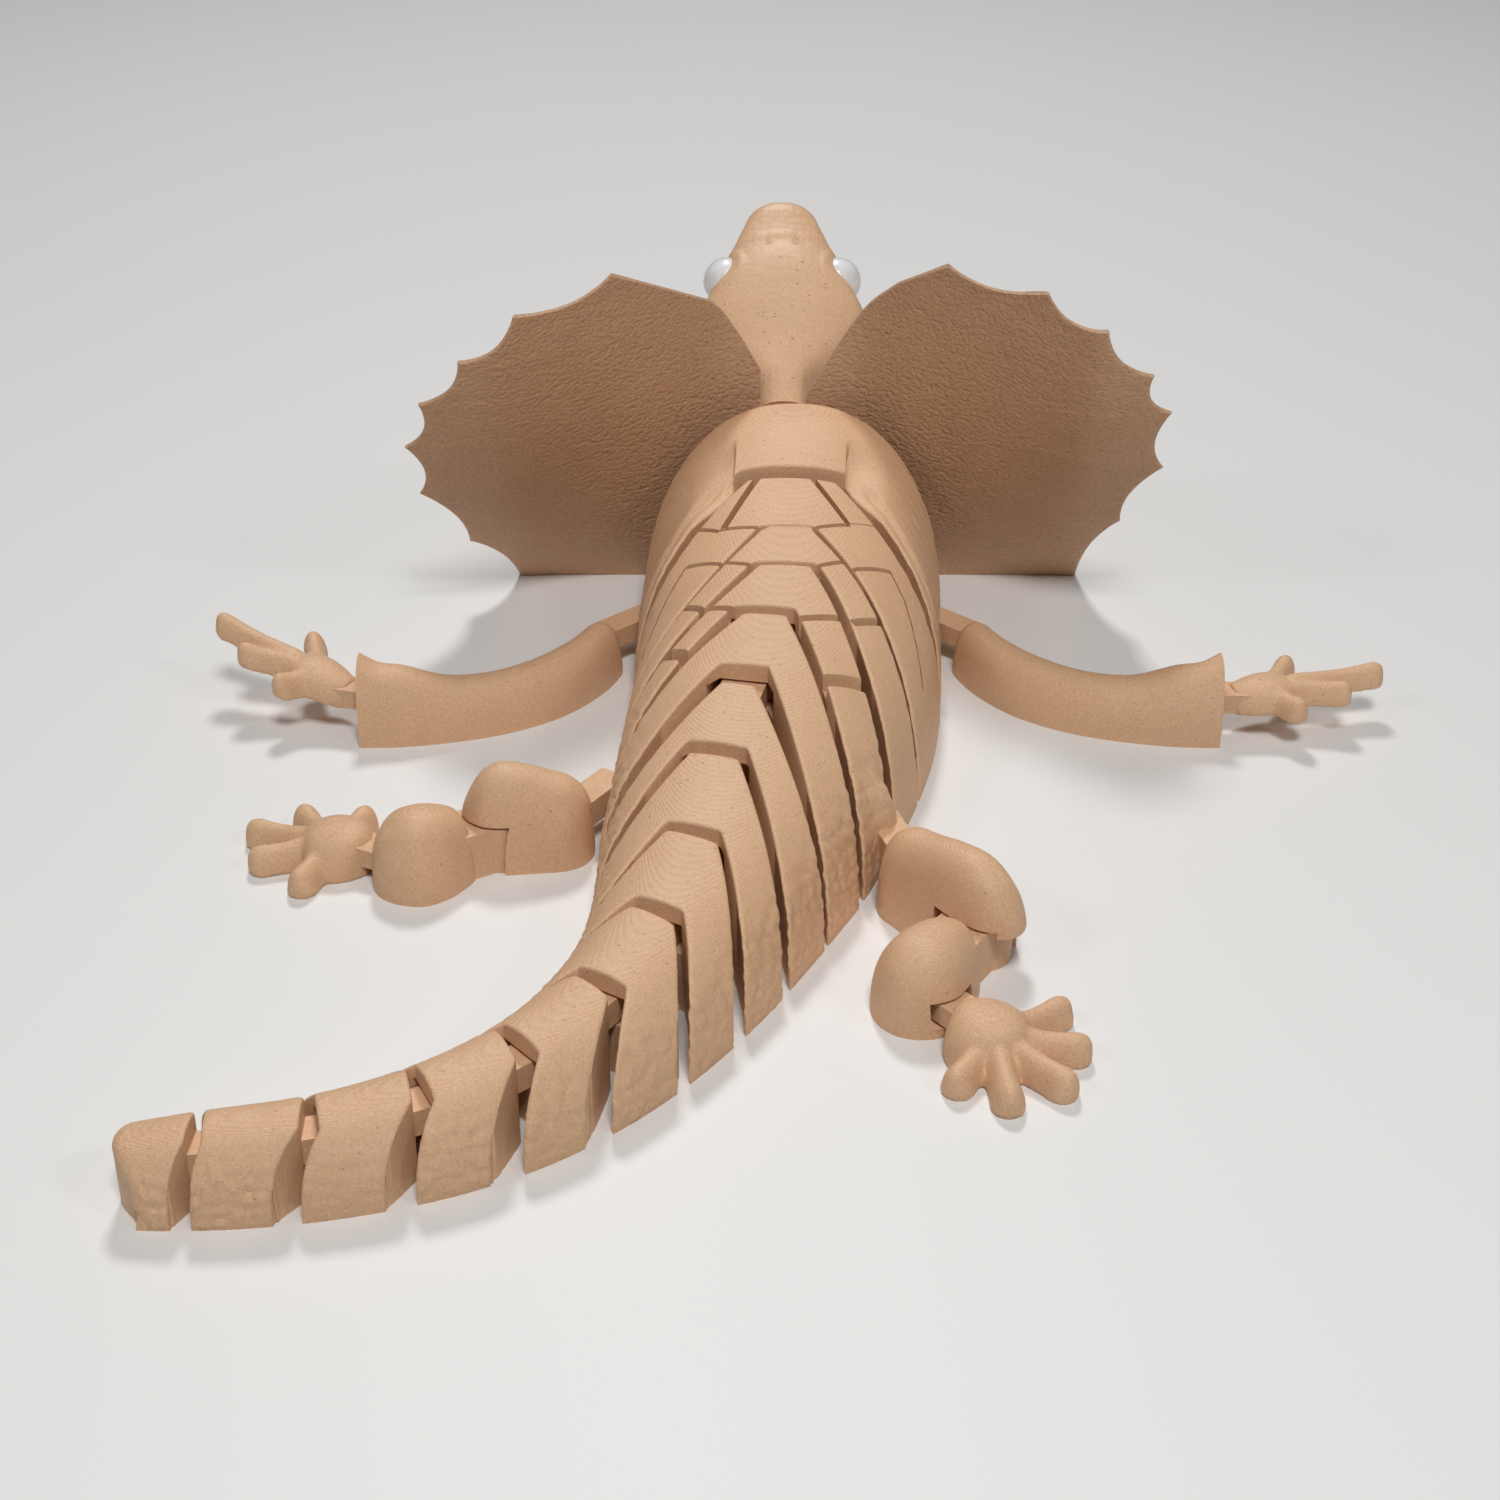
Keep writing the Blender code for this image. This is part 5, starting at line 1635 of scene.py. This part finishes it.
@dataclass
class Arm:
    """An arm in one piece with a cuff at its end, and a hand with four fingers.

    Attributes:
        shop: makes the objects.
        side: right or left.
        body_x: the body's centre line on the plan.
        shoulder: plan position of its hinge, measured from the body's centre.
        shoulder_levels: lowest and highest level of its tongue.
        wrist: plan position of the hand's hinge, measured likewise.
        wrist_levels: lowest and highest level of its tongue.
        run: the arm's knots.
        palm: the palm's knots.
        fingers: root and tip of each finger.
        finger: half-width and height of a finger at its root, waist and tip.
        hand_level: height of the palm's underside.
        hand_rise: slope of each hand away from the arm, and its turn in degrees.
    """

    shop: Workshop
    side: Side
    body_x: float = -2.5
    shoulder: tuple[float, float] = (21.0, -25.0)
    shoulder_levels: tuple[float, float] = (4.0, 7.5)
    wrist: tuple[float, float] = (70.0, -62.4)
    wrist_levels: tuple[float, float] = (5.0, 8.5)
    run: Knots = (
        (32.9, -36.4, 4.1, 9.6), (37.0, -45.5, 4.7, 9.6), (44.0, -54.0, 5.0, 9.6), (52.0, -59.0, 5.0, 9.5),
        (60.0, -61.4, 5.2, 10.2), (67.4, -62.2, 5.8, 12.5), (72.0, -62.4, 5.9, 13.4),
        (74.6, -62.4, 5.9, 15.0),
    )
    palm: Knots = ((76.8, -62.3, 3.0, 4.4), (81.0, -61.4, 4.8, 5.0), (88.5, -59.5, 5.4, 4.6))
    fingers: Sequence[Knots] = (
        ((86.0, -59.8), (104.6, -56.0)), ((86.0, -60.4), (97.8, -62.8)),
        ((83.0, -61.5), (88.5, -68.8)), ((84.0, -59.5), (89.0, -50.2)),
    )
    finger: Knots = ((2.6, 4.6), (2.05, 4.0), (2.4, 4.5))
    hand_level: float = 4.6
    hand_rise: dict[Side, tuple[float, float]] = field(default_factory=lambda: {
        Side.RIGHT: (0.06, 0.0), Side.LEFT: (0.27, -15.0),
    })

    def mirrored(self, points: Knots) -> list[tuple[float, ...]]:
        """Plan points measured from the body's centre, put on this side."""
        return [(self.body_x + self.side.sign * point[0], *point[1:]) for point in points]

    def shoulder_hinge(self) -> Hinge:
        """The hinge in the chest."""
        pin = self.mirrored([self.shoulder])[0]
        root = self.mirrored(self.run)[0]
        return Hinge(pin, LIMB_END, towards(pin, root), self.shoulder_levels, LIMB_WAIST)

    def wrist_hinge(self) -> Hinge:
        """The hinge of the hand."""
        outward = 0.0 if self.side is Side.RIGHT else math.pi
        pin = self.mirrored([self.wrist])[0]
        return Hinge(pin, LIMB_END, outward, self.wrist_levels, LIMB_WAIST)

    def build(self, finish: bpy.types.Material) -> None:
        """The arm and the hand.

        Args:
            finish: their material.
        """
        hinge, wrist = self.shoulder_hinge(), self.wrist_hinge()
        run = self.mirrored(self.run)
        solid = self.shop.carved(Bar(run, (True, False)).solid(), wrist.slot(self.shop))
        reach = math.dist(hinge.pin, run[0][:2]) + 1.0
        self.shop.piece(f"arm_{self.side.value}", solid + hinge.tongue(self.shop, reach), finish)
        self.shop.piece(f"hand_{self.side.value}", self.hand(wrist), finish)

    def hand(self, wrist: Hinge) -> Solid:
        """The palm and fingers melted into one skin, raised and turned about the wrist.

        A point's height grows by a slope times its distance out from the palm's root.

        Args:
            wrist: the hand's hinge.

        Returns:
            The hand with its tongue.
        """
        slope, turn = self.hand_rise[self.side]
        palm = self.mirrored(self.palm)
        solid = Bar(palm, (False, True)).solid()
        for finger in self.fingers:
            solid = solid + digit(*self.mirrored(finger), self.finger)
        solid = self.shop.fused(solid)
        out = self.side.sign * (solid.points[:, 0] - palm[0][0])
        solid.points[:, 2] += self.hand_level + slope * np.maximum(out, 0.0)
        solid = solid + wrist.tongue(self.shop, math.dist(wrist.pin, palm[0][:2]) + STUB)
        solid.points[:, :2] = turned(solid.points[:, :2] - wrist.pin, math.radians(turn)) + wrist.pin
        return solid


@dataclass(frozen=True)
class LegPlaces:
    """Plan positions along a leg.

    Attributes:
        hip: the pin of the thigh's hinge.
        hip_root: where its tongue leaves the third link.
        knee: the pin of the shin's hinge.
        ankle: the pin of the foot's hinge.
        palm: the middle of the foot.
        toes: their tips.
    """

    hip: tuple[float, float]
    hip_root: tuple[float, float]
    knee: tuple[float, float]
    ankle: tuple[float, float]
    palm: tuple[float, float]
    toes: Knots


LEGS = {
    Side.RIGHT: LegPlaces(
        (16.4, -118.6), (11.8, -104.0), (24.9, -130.2), (15.6, -144.6), (25.0, -156.0),
        ((36.8, -146.8), (39.0, -157.0), (35.6, -166.3), (26.3, -170.3), (18.1, -165.9)),
    ),
    Side.LEFT: LegPlaces(
        (-39.0, -101.8), (-32.0, -91.0), (-49.4, -103.0), (-62.2, -110.8), (-76.0, -104.5),
        ((-71.6, -93.3), (-83.1, -93.0), (-90.9, -98.6), (-89.2, -108.0), (-80.5, -115.8)),
    ),
}


@dataclass
class Leg:
    """A leg of three pieces: thigh, shin and foot.

    Attributes:
        shop: makes the objects.
        side: right or left.
        thigh: share of the way from hip to knee, half-width and height.
        shin: share of the way from knee to ankle, half-width and height.
        foot: distance from the palm's middle and half-width.
        toe: half-width and height of a toe at its root, waist and tip.
        foot_height: of the palm.
        hip_levels: lowest and highest level of the hip's tongue.
        knee_levels: of the knee's.
        ankle_levels: of the ankle's.
        knee_tongue: radius of the knee tongue's round end, and the share that its straight part keeps.
        clearances: radius of the round hollows about the knee and the ankle.
        hood: height of the thigh's lower edge beyond the knee.
        hood_space: distance beyond the knee, and radius, of the space under that edge.
    """

    shop: Workshop
    side: Side
    thigh: Knots = (
        (-0.44, 5.8, 13.5), (0.1, 6.0, 14.5), (0.55, 6.0, 16.2), (1.0, 6.0, 16.8), (1.6, 4.6, 12.0),
    )
    shin: Knots = ((0.3, 3.8, 9.0), (0.55, 5.4, 11.5), (0.8, 7.0, 12.8), (1.0, 7.4, 13.0), (1.45, 6.6, 11.0))
    foot: Knots = ((-7.5, 5.0), (0.0, 7.0), (5.0, 6.0))
    toe: Knots = ((2.8, 6.2), (2.3, 4.5), (2.75, 4.8))
    foot_height: float = 7.4
    hip_levels: tuple[float, float] = (3.8, 8.2)
    knee_levels: tuple[float, float] = (0.0, 8.0)
    ankle_levels: tuple[float, float] = (2.2, 5.4)
    knee_tongue: tuple[float, float] = (5.2, 0.8)
    clearances: tuple[float, float] = (7.3, 8.2)
    hood: float = 7.4
    hood_space: tuple[float, float] = (8.0, 8.0)

    @property
    def places(self) -> LegPlaces:
        """This side's plan positions."""
        return LEGS[self.side]

    def hip_hinge(self) -> Hinge:
        """The hinge on the third link, whose tongue belongs to that link."""
        at = self.places
        return Hinge(at.hip, LIMB_END, towards(at.hip, at.hip_root), self.hip_levels, LIMB_WAIST)

    def hip_tongue(self) -> Solid:
        """The tongue that the third link holds out to the thigh."""
        return self.hip_hinge().tongue(self.shop, math.dist(self.places.hip, self.places.hip_root) + 0.8)

    def knee_hinge(self) -> Hinge:
        """The hinge under the thigh's hood."""
        at = self.places
        radius, share = self.knee_tongue
        return Hinge(at.knee, radius, towards(at.knee, at.ankle), self.knee_levels, radius * share)

    def ankle_hinge(self) -> Hinge:
        """The hinge of the foot."""
        at = self.places
        return Hinge(at.ankle, LIMB_END, towards(at.ankle, at.palm), self.ankle_levels, LIMB_WAIST)

    def run(self, first: Sequence[float], second: Sequence[float], knots: Knots) -> list[tuple[float, ...]]:
        """Bar knots given as a share of the way between two hinges."""
        a, b = np.array(first), np.array(second)
        return [(*(a + share * (b - a)), half_width, height) for share, half_width, height in knots]

    def build(self, finish: bpy.types.Material) -> None:
        """The three pieces.

        Args:
            finish: their material.
        """
        solids = {"thigh": self.make_thigh(), "shin": self.make_shin(), "foot": self.make_foot()}
        for part, solid in solids.items():
            self.shop.piece(f"{part}_{self.side.value}", solid, finish)

    def make_thigh(self) -> Solid:
        """The thigh: a bar with a slot at each end, open below beyond the knee.

        Returns:
            The closed thigh.
        """
        at = self.places
        bar = Bar(self.run(at.hip, at.knee, self.thigh)).solid()
        out, (distance, radius) = towards(at.hip, at.knee), self.hood_space
        beyond = (at.knee[0] + distance * math.cos(out), at.knee[1] + distance * math.sin(out))
        below = drum(radius, beyond, high=self.hood)
        slots = (self.hip_hinge().slot(self.shop), self.knee_hinge().slot(self.shop))
        return self.shop.carved(bar, *slots, below)

    def make_shin(self) -> Solid:
        """The shin, hollowed about the knee, with its knee tongue and a slot at the ankle.

        Returns:
            The shin and its tongue.
        """
        at = self.places
        bar = Bar(self.run(at.knee, at.ankle, self.shin)).solid()
        hollow = drum(self.clearances[0], at.knee)
        solid = self.shop.carved(bar, hollow, self.ankle_hinge().slot(self.shop))
        return solid + self.knee_hinge().tongue(self.shop, self.clearances[0] + STUB)

    def make_foot(self) -> Solid:
        """The foot: a round palm and five toes melted into one skin, hollowed about the ankle.

        Returns:
            The foot and its tongue.
        """
        at = self.places
        angle = towards(at.ankle, at.palm)
        along = np.array([math.cos(angle), math.sin(angle)])
        palm = [(*(np.array(at.palm) + d * along), width, self.foot_height) for d, width in self.foot]
        solid = Bar(palm).solid()
        for toe in at.toes:
            solid = solid + digit(at.palm, toe, self.toe)
        solid = self.shop.carved(self.shop.fused(solid), drum(self.clearances[1], at.ankle))
        solid.points[:, 2] = np.maximum(solid.points[:, 2], 0.0)
        return solid + self.ankle_hinge().tongue(self.shop, self.clearances[1] + STUB)


# ---- Studio ------------------------------------------------------------------------------------------
@dataclass
class Studio:
    """A pale floor, soft lights and the camera.

    Attributes:
        shop: gives the shift from the plan to the frame.
        camera: plan position of the camera.
        pitch: how far it looks down, in degrees.
        lens: its focal length on a 36 mm sensor.
        lights: name, place, aim, size and power of each light, in metres and watts.
        surroundings: colour and strength of the light from all round.
        floor_colour: of the floor.
        floor_reach: from its middle to each side, in millimetres.
        floor_level: just under the toy, in millimetres.
    """

    shop: Workshop
    camera: tuple[float, float, float] = (-9.41, -429.1, 207.9)
    pitch: float = 30.0
    lens: float = 57.6
    lights: Sequence[tuple[str, tuple[float, float, float], tuple[float, float, float], float, float]] = (
        ("key", (0.08, -0.55, 0.95), (0.0, -0.02, 0.0), 0.25, 6.2),
        ("back", (-0.06, 0.62, 0.85), (0.0, -0.02, 0.0), 0.16, 4.2),
        ("streak_left", (-0.55, -0.35, 0.55), (0.0, -0.05, 0.0), 0.10, 0.45),
        ("streak_right", (0.5, -0.4, 0.55), (0.0, -0.05, 0.0), 0.10, 0.45),
    )
    surroundings: tuple[tuple[float, float, float], float] = ((0.9, 0.92, 1.0), 0.07)
    floor_colour: tuple[float, float, float] = (0.82, 0.81, 0.79)
    floor_reach: float = 3000.0
    floor_level: float = -0.02

    def build(self) -> None:
        """Floor, lights, surroundings and camera."""
        self.floor()
        for name, place, aim, size, power in self.lights:
            data = bpy.data.lights.new(name, "AREA")
            data.size = size
            data.energy = power
            light = bpy.data.objects.new(name, data)
            light.location = place
            light.rotation_mode = "QUATERNION"
            light.rotation_quaternion = (Vector(aim) - Vector(place)).to_track_quat("-Z", "Y")
            bpy.context.scene.collection.objects.link(light)
        world = bpy.data.worlds.new("surroundings")
        world.use_nodes = True
        background = world.node_tree.nodes["Background"]
        background.inputs["Color"].default_value = (*self.surroundings[0], 1.0)
        background.inputs["Strength"].default_value = self.surroundings[1]
        bpy.context.scene.world = world
        bpy.context.scene.view_settings.view_transform = "Standard"
        data = bpy.data.cameras.new("camera")
        data.lens = self.lens
        data.sensor_width = 36.0
        camera = bpy.data.objects.new("camera", data)
        camera.location = (np.array(self.camera) + self.shop.shift) * MM
        camera.rotation_euler = (math.radians(90.0 - self.pitch), 0.0, 0.0)
        bpy.context.scene.collection.objects.link(camera)
        bpy.context.scene.camera = camera

    def floor(self) -> None:
        """A wide pale floor just under the toy."""
        reach = self.floor_reach
        outline = [(-reach, -reach), (reach, -reach), (reach, reach), (-reach, reach)]
        corners = np.array([(*corner, self.floor_level) for corner in outline])
        made = self.shop.make("floor", Solid(corners, [[0, 1, 2, 3]]))
        finish = bpy.data.materials.new("floor_matte")
        finish.use_nodes = True
        nodes = Nodes(finish.node_tree)
        shader = finish.node_tree.nodes["Principled BSDF"]
        where = nodes.add("ShaderNodeTexCoord").outputs["Object"]
        cloud = nodes.add("ShaderNodeTexNoise", {"Vector": where, "Scale": 3.0, "Detail": 2.0})
        shader.inputs["Base Color"].default_value = (*self.floor_colour, 1.0)
        rough = nodes.math("MULTIPLY_ADD", cloud.outputs[0], 0.1, 0.45)
        nodes.tree.links.new(rough, shader.inputs["Roughness"])
        made.data.materials.append(finish)


def main() -> None:
    """Build every piece in order, and light them."""
    logging.basicConfig(level=logging.INFO, format="%(message)s")
    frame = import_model()
    neck = next(joint for joint in frame["joints"] if joint["name"] == "neck")
    shift = (neck["pos_m"][0] / MM - Head.neck_pin[0], neck["pos_m"][1] / MM - Head.neck_pin[1], 0.0)
    shop = Workshop(shift)
    layers, grains = layer_lines(), plastic_grain()
    tan = PrintedPlastic().material(layers, grains)
    # The frill's light and deep tones are darker than the rest of the tan: painted shade, standing in for the
    # shade on the backs of its leaning lobes.
    frill_tan = PrintedPlastic(
        "printed_tan_pebbled_painted_shade", light=(0.62, 0.38, 0.225), deep=(0.42, 0.235, 0.13), roughness=0.5,
        layer_depth=0.01, pebble_depth=0.2, speck_depth=0.08,
    ).material(layers, grains)
    head_tan = PrintedPlastic(
        "printed_tan_smooth", roughness=0.4, layer_depth=0.006, speck_depth=0.2, grain_depth=0.05,
    ).material(layers, grains)
    white = GlossyWhite().material(layers, grains)
    head = Head(shop)
    arms, legs = [Arm(shop, side) for side in Side], [Leg(shop, side) for side in Side]
    slots = head.hinge().slot(shop, head.neck_slot)
    for arm in arms:
        slots = slots + arm.shoulder_hinge().slot(shop)
    tongues = legs[0].hip_tongue() + legs[1].hip_tongue()
    Torso(shop).build(tan, slots, tongues)
    head.build(head_tan, white)
    Frill(shop).build(frill_tan, head)
    for limb in [*arms, *legs]:
        limb.build(tan)
    Studio(shop).build()


if __name__ == "__main__":
    main()
